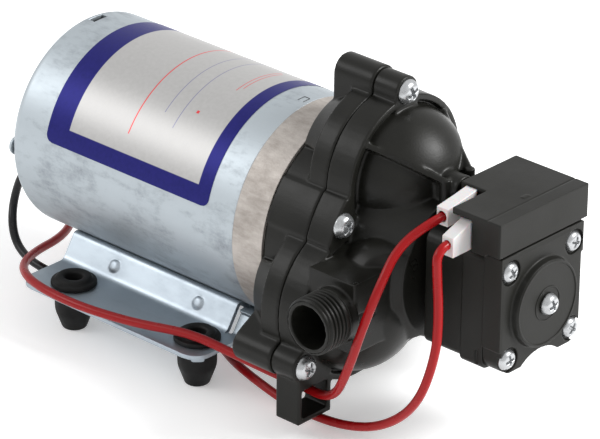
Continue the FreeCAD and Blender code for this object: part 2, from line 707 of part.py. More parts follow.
def cradle_section():
    """Upper line of the pressed sheet, from one flange edge over both ridges to the other."""
    saddle = number(bound("{can_radius} + {plate_thickness} / 2"))
    centre = number(AXIS)
    flange = number(FLANGE_TOP) - number(bound("{plate_thickness}")) / 2
    angle = math.radians(number(bound("{saddle_angle}")))
    lift = number(bound("{ridge_lift}"))

    def half(side):
        end = FreeCAD.Vector(0, side * saddle * math.sin(angle), centre - saddle * math.cos(angle))
        rise = FreeCAD.Vector(0, side * math.cos(angle), math.sin(angle))
        ridge = end + rise * lift
        bend = FreeCAD.Vector(0, side * number(bound("{bend_half_width}")), flange)
        edge = FreeCAD.Vector(0, side * number(bound("{plate_half_width}")), flange)
        return rounded_wire([edge, bend, ridge, end], [2.4, 1.5]), end

    left, low_left = half(-1)
    right, low_right = half(1)
    bottom = FreeCAD.Vector(0, 0, centre - saddle)
    arc = Part.Arc(low_left, bottom, low_right).toShape()
    wire = Part.Wire(Part.__sortEdges__(left + [arc] + right))
    return wire


def base_plate():
    """Pressed cradle: flat flanges for the feet, walls up to two ridges, saddle under the can."""
    thickness = number(bound("{plate_thickness}"))
    wire = cradle_section()
    face = wire.makeOffset2D(thickness / 2, fill=False, openResult=True)
    other = wire.makeOffset2D(-thickness / 2, fill=False, openResult=True)
    ends = []
    for k in (0, -1):
        first = face.OrderedVertexes[k].Point
        second = min((v.Point for v in (other.OrderedVertexes[0], other.OrderedVertexes[-1])),
                     key=lambda p: (p - first).Length)
        ends.append(Part.LineSegment(first, second).toShape())
    outline = Part.Wire(Part.__sortEdges__(face.Edges + other.Edges + ends))
    sheet_body = Part.Face(outline).extrude(FreeCAD.Vector(number(bound("{plate_length}")), 0, 0))
    pressed = place(feature(sheet_body), bound("{plate_rear}"))
    front = bound("{plate_rear} + {plate_length}")
    half_width = bound("{plate_half_width}")
    below = FLANGE_TOP + " - 3"
    above = FLANGE_TOP + " + 20"
    tools = []
    tabs = []
    corner = "7"
    for side in (-1, 1):
        edge = bound("{plate_half_width} * %d" % side)
        inside = "%s - %d * %s" % (edge, side, corner)
        spans = ("%s - 1" % edge, inside) if side < 0 else (inside, "%s + 1" % edge)
        for x, inner_x, span in (
                (bound("{plate_rear}"), bound("{plate_rear}") + " + " + corner,
                 (bound("{plate_rear}") + " - 1", bound("{plate_rear}") + " + " + corner)),
                (front, front + " - " + corner, (front + " - " + corner, front + " + 1"))):
            tools.append(cut(block(span, spans, (below, FLANGE_TOP + " + 1")),
                             cylinder("Z", corner, "10", inner_x, inside, FLANGE_TOP + " - 6")))
        inner = bound("({bend_half_width} - 11) * %d" % side)
        outer = bound("({bend_half_width} + 1.5) * %d" % side)
        wall = (outer, inner) if side < 0 else (inner, outer)
        tools.append(block((front + " - 7", front + " + 1"), wall, (below, above)))
        for along in (-1, 1):
            x = bound("{foot_pitch_x} / 2 * %d" % along)
            y = bound("{foot_pitch_y} / 2 * %d" % side)
            tools.append(cylinder("Z", bound("{foot_neck_radius}"), "10", x, y, FLANGE_TOP + " - 6"))
            for quarter in (45, 135, 225, 315):
                tab = doc.addObject("Part::Box", "Tab")
                bind(tab, "Length", bound("1.2"))
                bind(tab, "Width", bound("5"))
                bind(tab, "Height", bound("{plate_thickness} + 3.4"))
                tab.Placement = FreeCAD.Placement(
                    FreeCAD.Vector(), FreeCAD.Rotation(FreeCAD.Vector(0, 0, 1), quarter))
                reach = bound("{foot_cone_radius} + 0.5")
                c = math.cos(math.radians(quarter))
                s = math.sin(math.radians(quarter))
                place(tab, "%s + %s * %.6f + 2.5 * %.6f" % (x, reach, c, s),
                      "%s + %s * %.6f - 2.5 * %.6f" % (y, reach, s, c),
                      FLANGE_TOP + " - 3.4 - " + bound("{plate_thickness}"))
                tabs.append(tab)
    trimmed = cut(pressed, *tools)
    return node("base_plate", fuse(trimmed, *tabs))


def foot(label, along, side):
    """Rubber foot: it is pushed through the flange, which sits in its groove."""
    groove = bound("{foot_cone_height}")
    upper = bound("{foot_cone_height} + {plate_thickness}")
    top = bound("{foot_cone_height} + {plate_thickness} + {foot_cap_height}")
    body = turned([[
        ("0", bound("{foot_bore}")),
        ("0", bound("{foot_sole_radius} - 0.5")),
        (bound("0.5"), bound("{foot_sole_radius}")),
        (bound("{foot_cone_height} - 5"), bound("{foot_cone_radius}")),
        (groove, bound("{foot_cone_radius}")),
        (groove, bound("{foot_neck_radius}")),
        (upper, bound("{foot_neck_radius}")),
        (upper, bound("{foot_cap_radius}")),
        (bound("{foot_cone_height} + {plate_thickness} + 1.3"), bound("{foot_cap_radius}")),
        (bound("{foot_cone_height} + {plate_thickness} + {foot_cap_height} - 0.8"),
         bound("{foot_cap_radius} - 1.4")),
        (top, bound("{foot_cap_radius} - 3.6")),
        (top, bound("{foot_recess}")),
        (bound("{foot_cone_height} + {plate_thickness} + {foot_cap_height} - 4"), bound("{foot_recess}")),
        (bound("{foot_cone_height} + {plate_thickness} + {foot_cap_height} - 4"), bound("{foot_bore}")),
    ]], bound("{foot_pitch_x} / 2 * %d" % along), bound("{foot_pitch_y} / 2 * %d" % side), "0",
        upright=True)
    return node(label, body)


# Pump head
CORNER_ANGLES = (90, 210, 330)
SIDE_ANGLES = (150, 30, 270)
SCREW_ANGLE = 150


def angled_block(angle, near, far, half, x_low, x_high):
    """A box along X whose near and far faces lie square to a direction about the motor axis."""
    item = doc.addObject("Part::Box", "AngledBlock")
    bind(item, "Length", "(%s) - (%s)" % (x_high, x_low))
    bind(item, "Width", "(%s) - (%s)" % (far, near))
    bind(item, "Height", "2 * (%s)" % half)
    radians = math.radians(angle)
    item.Placement = FreeCAD.Placement(
        FreeCAD.Vector(), FreeCAD.Rotation(FreeCAD.Vector(1, 0, 0), angle))
    c = math.cos(radians)
    s = math.sin(radians)
    return place(item, x_low, "(%s) * %.6f + (%s) * %.6f" % (near, c, half, s),
                 "%s + (%s) * %.6f - (%s) * %.6f" % (AXIS, near, s, half, c))


def flat_side(angle, distance, x_low, x_high):
    return angled_block(angle, distance, distance + " + 30", "60", x_low, x_high)


def corner_boss(angle, x_low, x_high, radius):
    """A round screw boss with a web that joins it to the rim."""
    y, z = at(bound("{corner_circle}"), angle)
    length = "(%s) - (%s)" % (x_high, x_low)
    web = angled_block(angle, bound("{piston_circle} + {rim_radius} - 12"), bound("{corner_circle}"), radius,
                       x_low, x_high)
    return [cylinder("X", radius, length, x_low, y, z), web]


FLARE_ANGLE = 68


def lobe(angle, first, second, x_low, length):
    """A round or conical lobe about the piston that lies in one of the three directions."""
    y, z = at(bound("{piston_circle}"), angle)
    return cone("X", first, second, length, x_low, y, z)


def beside_flare(angle, side, x_low, x_high):
    """Space beside a flare: what lies beyond a plane through the lobe's centre."""
    item = doc.addObject("Part::Box", "BesideFlare")
    bind(item, "Length", "(%s) - (%s)" % (x_high, x_low))
    bind(item, "Width", "40")
    bind(item, "Height", "40")
    turn = angle + side * FLARE_ANGLE
    item.Placement = FreeCAD.Placement(FreeCAD.Vector(), FreeCAD.Rotation(FreeCAD.Vector(1, 0, 0), turn))
    y, z = at(bound("{piston_circle}"), angle)
    back = 0 if side > 0 else 40
    return place(item, x_low, "%s + %d * %.6f" % (y, back, math.sin(math.radians(turn))),
                 "%s - %d * %.6f" % (z, back, math.cos(math.radians(turn))))


def waist(x_low, x_high):
    """Round middle of the pump head between its lobes, with the screw pad on the near side."""
    length = "(%s) - (%s)" % (x_high, x_low)
    core = cylinder("X", bound("{can_radius} - {neck_in}"), length, x_low, "0", AXIS)
    pad = common(cylinder("X", bound("{can_radius}"), length, x_low, "0", AXIS),
                 angled_block(SCREW_ANGLE, "30", "70", bound("{pad_half_width}"), x_low, x_high))
    return [core, pad]


def lower_housing():
    """Gearcase: three flared lobes with a raised rim, screw bosses, and the cavity of the drive."""
    band_rear = PARTING + " - " + bound("{band_width}")
    solids = waist(BELL_FRONT, PARTING)
    for angle in CORNER_ANGLES:
        flare = lobe(angle, bound("{flare_rear}"), bound("{flare_front}"), BELL_FRONT,
                     bound("{housing_depth} - {band_width} + 0.5"))
        solids.append(cut(flare, *[beside_flare(angle, side, BELL_FRONT + " - 1", PARTING + " + 1")
                                   for side in (-1, 1)]))
        solids.append(lobe(angle, bound("{rim_radius} - 0.01"), bound("{rim_radius}"), band_rear,
                           bound("{band_width}")))
    holes = []
    for angle in CORNER_ANGLES:
        solids += corner_boss(angle, BELL_FRONT + " + " + bound("{boss_setback}"), PARTING,
                              bound("{boss_radius}"))
        y, z = at(bound("{corner_circle}"), angle)
        holes.append(cylinder("X", bound("{screw_radius} + 0.1"), "17", PARTING + " - 16", y, z))
    y, z = at(bound("{side_circle}"), SCREW_ANGLE)
    holes.append(cylinder("X", bound("{screw_radius} + 0.1"), "17", PARTING + " - 16", y, z))
    floor = BELL_FRONT + " + 3"
    holes.append(cylinder("X", bound("{bearing_radius}"), "5", BELL_FRONT + " - 1", "0", AXIS))
    holes.append(cylinder("X", bound("{cavity_radius}"), "30", floor, "0", AXIS))
    for angle in CORNER_ANGLES:
        y, z = at(bound("{piston_circle}"), angle)
        holes.append(cylinder("X", bound("{lobe_radius}"), "30", floor + " + 6", y, z))
    return node("lower_housing", cut(fuse(*solids), *holes))


DIAPHRAGM_X = PARTING
VALVE_X = PARTING + " + " + bound("{diaphragm_thickness}")
VALVE_FRONT = VALVE_X + " + " + bound("{valve_plate_depth}")
CUP_FLOOR = VALVE_FRONT + " - " + bound("{valve_plate_floor}")


def diaphragm():
    """Rubber sheet clamped between the housings; the piston stems pass through it."""
    disc = cylinder("X", bound("{diaphragm_radius}"), bound("{diaphragm_thickness} - 0.1"),
                    DIAPHRAGM_X, "0", AXIS)
    tools = [flat_side(angle, bound("{diaphragm_flat}"), DIAPHRAGM_X + " - 1", VALVE_X + " + 1")
             for angle in SIDE_ANGLES]
    for angle in CORNER_ANGLES:
        y, z = at(bound("{piston_circle}"), angle)
        tools.append(cylinder("X", bound("{piston_stem_radius} + {gap} + 0.4"), "4", DIAPHRAGM_X + " - 1",
                              y, z))
    tools.append(side_screw_clearance(DIAPHRAGM_X))
    return node("diaphragm", cut(disc, *tools))


def side_screw_clearance(x):
    """Notch for the side screw's pillar in the edge of the diaphragm and the valve plate."""
    y, z = at(bound("{side_circle}"), SCREW_ANGLE)
    return cylinder("X", bound("{screw_radius} + 2.4"), "30", x + " - 8", y, z)


def valve_plate():
    """Moulded plate with one cup over each piston and the valve seats between the cups."""
    disc = cylinder("X", bound("{diaphragm_radius}"), bound("{valve_plate_depth}"), VALVE_X, "0", AXIS)
    tools = [flat_side(angle, bound("{diaphragm_flat}"), VALVE_X + " - 1", VALVE_FRONT + " + 1")
             for angle in SIDE_ANGLES]
    for angle in CORNER_ANGLES:
        y, z = at(bound("{piston_circle}"), angle)
        tools.append(cylinder("X", bound("{lobe_radius} - 1"),
                              bound("{valve_plate_depth} - {valve_plate_floor} + 1"),
                              VALVE_X + " - 1", y, z))
        for hole in (angle - 90, angle, angle + 90):
            hy = "%s + 3.3 * %.6f" % (y, math.cos(math.radians(hole)))
            hz = "%s + 3.3 * %.6f" % (z, math.sin(math.radians(hole)))
            tools.append(cylinder("X", "1.1", "20", VALVE_X, hy, hz))
        oy, oz = at(bound("{outlet_hole_circle}"), angle)
        tools.append(cylinder("X", "1.3", "20", VALVE_X, oy, oz))
        tools.append(cylinder("X", "1.6", "20", VALVE_X, y, z))
        tools.append(cylinder("X", "5.3", "5", CUP_FLOOR + " - 4.3", y, z))
    tools.append(side_screw_clearance(VALVE_X))
    return node("valve_plate", cut(disc, *tools))


def valves():
    """Rubber mushroom valves: one inlet valve in each cup and one outlet valve in the middle."""
    flaps = []
    for angle in CORNER_ANGLES:
        y, z = at(bound("{piston_circle}"), angle)
        flap = cylinder("X", "5", "0.6", CUP_FLOOR + " + 0.1", y, z)
        stem = cylinder("X", "1.5", bound("{valve_plate_floor} + 1.2"), CUP_FLOOR + " + 0.2", y, z)
        flaps.append(fuse(flap, stem))
    node("inlet_valves", group(*flaps))
    flap = cone("X", bound("{outlet_valve_radius}"), bound("{outlet_valve_radius} - 1.5"), "1.2",
                VALVE_FRONT,
                "0", AXIS)
    crown = cylinder("X", "3", "2", VALVE_FRONT, "0", AXIS)
    node("outlet_valve", fuse(flap, crown))


def drive():
    """Cam, its ball bearing and the wobble plate with three pistons."""
    y = "0"
    cam = cylinder("X", bound("{cam_radius}"), bound("{cam_length}"), CAM_REAR, y, AXIS)
    flat = cylinder("X", bound("{shaft_radius}"), bound("{cam_length} + 2"), CAM_REAR + " - 1", y, AXIS)
    lobe = common(cylinder("X", bound("{cam_radius} + 4"), "2.6", CAM_REAR, y, AXIS),
                  block((CAM_REAR, CAM_REAR + " + 2.6"),
                        (bound("-{cam_radius} - 5"), bound("{cam_radius} + 5")),
                        (AXIS + " - 20", AXIS + " - 2")))
    weight = cut(lobe, cylinder("X", bound("{shaft_radius}"), "5", CAM_REAR + " - 1", y, AXIS))
    node("drive_cam", fuse(cut(cam, flat), weight))
    ring = cut(cylinder("X", bound("{wobble_hub_radius} - 0.9"), "5.6", CAM_REAR + " + 3", y, AXIS),
               cylinder("X", bound("{cam_radius}"), "8", CAM_REAR + " + 2", y, AXIS))
    node("cam_bearing", ring)
    arm_x = CAM_FRONT + " + 0.4"
    hub = cylinder("X", bound("{wobble_hub_radius} + 2.6"), "9.4", CAM_REAR + " + 3", y, AXIS)
    solids = [hub]
    for angle in CORNER_ANGLES:
        py, pz = at(bound("{piston_circle}"), angle)
        solids.append(cylinder("X", bound("{piston_radius} - 1.5"), bound("{wobble_thickness}"),
                               arm_x + " - 0.4", py, pz))
        solids.append(angled_block(angle, "4", bound("{piston_circle}"), "5.5", arm_x + " - 0.4",
                                   arm_x + " - 0.4 + " + bound("{wobble_thickness}")))
    hollow = cylinder("X", bound("{wobble_hub_radius}"), "7.4", CAM_REAR + " + 2", y, AXIS)
    node("wobble_plate", cut(fuse(*solids), hollow))
    for label, angle in zip(("piston_top", "piston_near", "piston_far"), CORNER_ANGLES):
        py, pz = at(bound("{piston_circle}"), angle)
        stem_x = arm_x + " - 0.4 + " + bound("{wobble_thickness}")
        head_x = VALVE_X + " + 1"
        stem = cylinder("X", bound("{piston_stem_radius}"), "%s - (%s)" % (head_x, stem_x), stem_x, py, pz)
        head = cylinder("X", bound("{piston_radius}"), bound("{piston_thickness}"), head_x, py, pz)
        recess = cylinder("X", "3", "0.8", head_x + " + " + bound("{piston_thickness} - 0.8"), py, pz)
        node(label, cut(fuse(stem, head), recess))


# The upper housing's pieces run a little past the parting line, where one cut makes its mating face.
OVERRUN = PARTING + " - 1"


def rim_plate():
    """Rim of the upper housing: three round lobes and the waist, with a raised lip along the lobes."""
    length = bound("{flange_depth} + 1")
    solids = waist(OVERRUN, SCREW_FACE)
    solids += [lobe(angle, bound("{rim_radius} - 0.1"), bound("{rim_radius} - 0.4"), OVERRUN, length)
               for angle in CORNER_ANGLES]
    floor = SCREW_FACE + " - " + bound("{groove_depth}")
    inside = bound("{rim_radius} - 0.4 - {rim_lip}")
    channels = [lobe(angle, inside, inside + " + 0.01", floor, "10") for angle in CORNER_ANGLES]
    kept = []
    for angle in CORNER_ANGLES + (SCREW_ANGLE,):
        y, z = at(bound("{side_circle}") if angle == SCREW_ANGLE else bound("{corner_circle}"), angle)
        kept.append(cylinder("X", bound("{screw_head_radius} + 1.6"), "12", floor + " - 1", y, z))
    return cut(fuse(*solids), cut(fuse(*channels), *kept))


def rib_corners(side):
    """Ends of a rib and the dome centre that its faces point at."""
    start = FreeCAD.Vector(number(SCREW_FACE) - 1.5, side * number(bound("{rib_start_y}")),
                           number(AXIS + " + " + bound("{rib_start_z}")))
    end = FreeCAD.Vector(number(HUB_FRONT + " + " + bound("{rib_overrun}")),
                         side * number(bound("{rib_end_y}")),
                         number(AXIS + " + " + bound("{rib_end_z}")))
    middle = FreeCAD.Vector(number(DOME_X), 0, number(AXIS + " + " + bound("{piston_circle}")))
    return start, end, middle


def rib(side):
    """Straight rib from the rim past the flank of the top dome to the switch end of the hub."""
    start, end, middle = rib_corners(side)
    normal = (start - middle).cross(end - middle).normalize()
    thickness = normal * number(bound("{rib_thickness}"))
    base = middle - thickness * 0.5
    outline = Part.makePolygon([base, start - thickness * 0.5, end - thickness * 0.5, base])
    return feature(Part.Face(outline).extrude(thickness))


def below_rib(side):
    """Space under a rib, out to the side, in which the dome is set back."""
    start, end, middle = rib_corners(side)
    along = (end - start).normalize()
    normal = (start - middle).cross(end - middle).normalize()
    if normal.z > 0:
        normal = normal * -1
    outward = along.cross(normal).normalize() * 60
    if outward.y * side < 0:
        outward = outward * -1
    corner = middle - along * 60
    outline = Part.makePolygon([corner, corner + outward, corner + outward + along * 120,
                                corner + along * 120, corner])
    slab = Part.Face(outline).extrude(normal * 60)
    half = Part.makeBox(200, 100, 200,
                        FreeCAD.Vector(number(SCREW_FACE) - 20, 0 if side > 0 else -100, -20))
    return feature(slab.common(half))


def dome(angle):
    """Pump chamber dome; the one on top is set back under its two ribs, the others all over."""
    y, z = at(bound("{piston_circle}"), angle)
    outer = ball(bound("{dome_radius}"), DOME_X, y, z)
    if angle == 90:
        tools = [cut(below_rib(side), ball(bound("{dome_radius} - {dome_step}"), DOME_X, y, z))
                 for side in (-1, 1)]
        outer = cut(outer, *tools)
    front = block((SCREW_FACE + " - 3", SCREW_FACE + " + 60"), ("-90", "90"),
                  (AXIS + " - 90", AXIS + " + 90"))
    return common(outer, front)


def chamber(angle):
    """Hollow of a dome, open towards the valve plate and walled off from the outlet in the middle."""
    y, z = at(bound("{piston_circle}"), angle)
    hollow = common(ball(bound("{dome_radius} - {dome_step} - {dome_wall}"), DOME_X, y, z),
                    block((VALVE_FRONT + " - 1", SCREW_FACE + " + " + bound("{chamber_depth}")), ("-90", "90"),
                          (AXIS + " - 90", AXIS + " + 90")))
    return cut(hollow, cylinder("X", bound("{outlet_wall}"), "30", VALVE_FRONT + " - 4", "0", AXIS))


def inlet_ways():
    """Ring that joins the three chambers, and the way down to them from the near port."""
    ring = cut(cylinder("X", bound("{outlet_wall} + 4"), "5", VALVE_FRONT + " - 0.5", "0", AXIS),
               cylinder("X", bound("{outlet_wall}"), "8", VALVE_FRONT + " - 2", "0", AXIS))
    way = cylinder("X", "3", PORT_X + " - (" + SCREW_FACE + ")", SCREW_FACE, bound("-{piston_circle}"), PORT_Z)
    return [ring, way]


def passage():
    """Round-ended body of the cross passage between the ports, sloped back from the front of the hub."""
    half = number(bound("{manifold_half}"))
    tube = Part.makeCylinder(number(bound("{manifold_radius}")), 2 * half, FreeCAD.Vector(0, -half, 0),
                             FreeCAD.Vector(0, 1, 0))
    ends = [edge for edge in tube.Edges if abs(abs(edge.CenterOfMass.y) - half) < 0.01]
    body = place(feature(tube.makeFillet(number(bound("{manifold_round}")), ends)), PORT_X, "0", PORT_Z)
    slope = cone("X", bound("{hub_radius} + 45"), bound("{hub_radius}"), "45", HUB_FRONT + " - 45", "0",
                 AXIS)
    return common(body, slope)


def port(side):
    """One port: square block at its root, threaded spigot, and the bore from the mouth inwards."""
    block_far = bound("{port_half_span} - {port_thread_length}")
    root = bound("{manifold_half} - 12")
    span = (root, block_far) if side > 0 else ("-1 * " + block_far, "-1 * " + root)
    square = block((PORT_X + " - " + bound("{port_block_rear}"),
                    PORT_X + " + " + bound("{port_block_front}")), span,
                   (PORT_Z + " - " + bound("{port_block_half}"),
                    PORT_Z + " + " + bound("{port_block_half}")))
    mouth = block_far + " - 1" if side > 0 else bound("-{port_half_span}")
    spigot = cylinder("Y", bound("{port_thread_radius}"), bound("{port_thread_length} + 1"), PORT_X, mouth,
                      PORT_Z)
    collar_start = block_far + " - 1" if side > 0 else "-1 * " + block_far + " - " + bound("{port_collar}")
    collar = cylinder("Y", bound("{port_collar_radius}"), bound("{port_collar} + 1"), PORT_X, collar_start, PORT_Z)
    bore_start = bound("{port_half_span} - {bore_depth}") if side > 0 else bound("-{port_half_span} - 1")
    bore = cylinder("Y", bound("{port_bore}"), bound("{bore_depth} + 1"), PORT_X, bore_start, PORT_Z)
    # The far water way reaches the outlet in the middle, the near one stops short of it.
    inner_start = "0" if side > 0 else bound("-{port_half_span} + {bore_depth} - 2")
    inner_length = bound("{port_half_span} - {bore_depth} + 2 - {bore_wall} * %d" % (side < 0))
    inner = cylinder("Y", bound("{port_bore} - 2.6"), inner_length, PORT_X, inner_start, PORT_Z)
    return [square, spigot, collar], [bore, inner]


def upper_housing():
    """Pump head: rim, three chamber domes, cross passage with two ports, ribs and lead clip."""
    hub = cone("X", bound("{hub_radius} + 5"), bound("{hub_radius}"), bound("{hub_length} + 3"),
               SCREW_FACE + " - 3",
               "0", AXIS)
    neck = cylinder("X", bound("{neck_radius}"), bound("{neck_length} + 3"), HUB_FRONT + " - 3", "0", AXIS)
    solids = [rim_plate(), hub, neck, passage()]
    holes = []
    for angle in CORNER_ANGLES:
        solids += corner_boss(angle, OVERRUN, SCREW_FACE, bound("{boss_radius} - 0.7"))
        solids.append(dome(angle))
        holes.append(chamber(angle))
        cy, cz = at(bound("{corner_circle}"), angle)
        holes.append(cylinder("X", bound("{screw_radius} + 0.2"), "40", PARTING + " - 2", cy, cz))
    for side in (-1, 1):
        outside, inside = port(side)
        solids += outside
        holes += inside
        solids.append(rib(side))
        post_z = AXIS + " + " + bound("{hub_radius} - 6")
        solids.append(cylinder("Z", "1.9", bound("{rib_end_z} - {hub_radius} + 7"), HUB_FRONT + " + 0.6",
                               bound("{rib_end_y} * %d" % side), post_z))
    y, z = at(bound("{side_circle}"), SCREW_ANGLE)
    holes.append(cylinder("X", bound("{screw_radius} + 0.2"), "40", PARTING + " - 2", y, z))
    holes.append(cylinder("X", bound("{screw_head_radius} + 0.6"), "40", SCREW_FACE, y, z))
    recess = cylinder("X", bound("{diaphragm_radius} + {gap}"), VALVE_FRONT + " - (" + PARTING + ") + 3",
                      PARTING + " - 3", "0", AXIS)
    flats = [flat_side(angle, bound("{diaphragm_flat} + {gap}"), PARTING + " - 4", SCREW_FACE + " + 1")
             for angle in SIDE_ANGLES]
    pillar = cylinder("X", bound("{screw_radius} + 2.1"), "30", PARTING + " - 4", y, z)
    holes.append(cut(recess, pillar, *flats))
    holes.append(cylinder("X", bound("{outlet_valve_radius} + 1"), "4.5", VALVE_FRONT + " - 0.5", "0",
                          AXIS))
    holes.append(cylinder("X", "3", "60", VALVE_FRONT + " + 3", "0", AXIS))
    solids += clip_walls()
    holes += inlet_ways()
    holes.append(block((PARTING + " - 6", PARTING), ("-90", "90"), (AXIS + " - 90", AXIS + " + 90")))
    whole = fuse(*solids)
    whole.Refine = False
    return node("upper_housing", cut(whole, *holes))


def clip_walls():
    """Square loop under the near boss that holds the leads."""
    near = bound("-{clip_near}")
    far = bound("-{clip_near} + {clip_width}")
    wall = bound("{clip_wall}")
    low = bound("{clip_bottom}")
    ceiling = bound("{clip_bottom} + {clip_wall} + {clip_window}")
    x = (OVERRUN, SCREW_FACE)
    top = AXIS + " - 30"
    return [
        block(x, (near, near + " + " + wall), (low, top)),
        block(x, (far + " - " + wall, far), (low, top)),
        block(x, (near, far), (low, low + " + " + wall)),
        block(x, (near, far), (ceiling, top)),
    ]


def pan_screw(x, y, z, head_radius, head_height, shank_radius, length):
    """Pan head screw that points along -X, its head's underside at x."""
    head = cone("X", head_radius, head_radius + " * 0.72", head_height, x, y, z)
    shank = cylinder("X", shank_radius, length + " + 0.5", x + " - " + length, y, z)
    return fuse(head, shank)


def housing_screws():
    screws = []
    for angle in CORNER_ANGLES:
        y, z = at(bound("{corner_circle}"), angle)
        screws.append(pan_screw(SCREW_FACE, y, z, bound("{screw_head_radius}"),
                                bound("{screw_head_height}"),
                                bound("{screw_radius}"), bound("{screw_length}")))
    y, z = at(bound("{side_circle}"), SCREW_ANGLE)
    screws.append(pan_screw(SCREW_FACE, y, z, bound("{screw_head_radius}"), bound("{screw_head_height}"),
                            bound("{screw_radius}"), bound("{screw_length}")))
    return node("housing_screws", group(*screws))


def check_valve():
    """Spring-loaded valve in the near port: disc on its seat, spring, and the guide behind it."""
    seat = bound("-{port_half_span} + {bore_depth}")
    disc = cylinder("Y", bound("{valve_radius}"), bound("{valve_thickness}"), PORT_X,
                    seat + " - " + bound("{valve_thickness}") + " - " + GAP, PORT_Z)
    stem = cylinder("Y", bound("{valve_stem}"), "9.5", PORT_X, seat + " - 11 - " + GAP, PORT_Z)
    node("check_valve", fuse(disc, stem))
    guide_y = seat + " - 11.5"
    disc = cylinder("Y", bound("{port_bore} - {running_gap}"), bound("{guide_thickness}"), PORT_X, guide_y,
                    PORT_Z)
    holes = [cylinder("Y", bound("{valve_stem} + 0.1"), "4", PORT_X, guide_y + " - 1", PORT_Z)]
    for angle in range(0, 360, 60):
        holes.append(cylinder("Y", "1.9", "4", PORT_X + " + 4.6 * %.6f" % math.cos(math.radians(angle)),
                              guide_y + " - 1", PORT_Z + " + 4.6 * %.6f" % math.sin(math.radians(angle))))
    guide = cut(disc, *holes)
    node("check_valve_guide", guide)
    low = number(guide_y) + number(bound("{guide_thickness}"))
    high = number(seat) - number(bound("{valve_thickness}")) - number(GAP)
    wire = number(bound("{valve_wire}"))
    coil = helix(number(bound("{valve_spring_radius}")), wire, high - low, 4)
    coil.Placement = FreeCAD.Placement(
        FreeCAD.Vector(number(PORT_X), low + wire + END_GAP, number(PORT_Z)), TURNS["Y"])
    node("check_valve_spring", coil)


END_GAP = 0.25


def helix(radius, wire, length, turns):
    """Open coil spring along Z, a tube of twelve mitred pieces a turn. It starts END_GAP above its seat."""
    pitch = (length - 2 * wire - 2 * END_GAP) / turns
    points = []
    for step in range(12 * turns + 1):
        angle = step * math.pi / 6
        points.append(FreeCAD.Vector(radius * math.cos(angle), radius * math.sin(angle), pitch * step / 12))
    section = Part.Wire(Part.Circle(points[0], points[1] - points[0], wire).toShape())
    return feature(Part.makePolygon(points).makePipeShell([section], True, False, 1))


# Pressure switch
def rounded_box(x_low, x_high, half_width, half_height, corner):
    """A square body about the motor axis with its long edges rounded."""
    body = doc.addObject("PartDesign::Body", "Square")
    face = sketch_on(body, "YZ_Plane")
    negative = "-1 * " + half_width
    polygon(face, [
        (negative, "-1 * " + half_height),
        (half_width, "-1 * " + half_height),
        (half_width, half_height),
        (negative, half_height),
    ])
    pad = body.newObject("PartDesign::Pad", "Pad")
    pad.Profile = face
    bind(pad, "Length", "(%s) - (%s)" % (x_high, x_low))
    doc.recompute()
    edges = [
        "Edge%d" % (k + 1) for k, edge in enumerate(body.Shape.Edges)
        if abs(abs(edge.tangentAt(edge.FirstParameter).x) - 1) < 1e-6
    ]
    rounding = body.newObject("PartDesign::Fillet", "Rounding")
    rounding.Base = (pad, edges)
    bind(rounding, "Radius", corner)
    doc.recompute()
    return place(body, x_low, "0", AXIS)


def switch_screw_centres():
    half = bound("{switch_screw_pitch} / 2")
    return [(half + " * %d" % a, AXIS + " + " + half + " * %d" % b) for a in (-1, 1) for b in (-1, 1)]


SEAL_X = SWITCH_REAR + " + 5"
PLUNGER_DISC = bound("{plunger_disc}")
BUTTON_X = SEAL_X + " + " + bound("{plunger_disc}")
RAMP_Z = AXIS + " + " + bound("{ramp_height}")


def switch_body():
    """Rear and middle of the pressure switch in one moulding, hollow for the plunger."""
    rear = rounded_box(SWITCH_REAR, SWITCH_MID + " + 1", bound("{switch_rear_half}"),
                       bound("{switch_rear_half} + 2"),
                       bound("4"))
    middle = rounded_box(SWITCH_MID, SWITCH_PLATE, bound("{switch_mid_half}"),
                         bound("{switch_mid_half} + 1"),
                         bound("3"))
    holes = [
        cylinder("X", "3", "8", SWITCH_REAR + " - 1", "0", AXIS),
        cylinder("X", bound("{seal_radius} + {gap}"), "40", SEAL_X, "0", AXIS),
    ]
    for y, z in switch_screw_centres():
        holes.append(cylinder("X", bound("{switch_screw_shank} + 0.1"), "22", SWITCH_PLATE + " - 18", y, z))
    slot = block((SEAL_X + " + 3", SWITCH_PLATE + " + 1"), ("-4", "4"), (AXIS, AXIS + " + 40"))
    return node("switch_body", cut(fuse(rear, middle), *holes, slot))


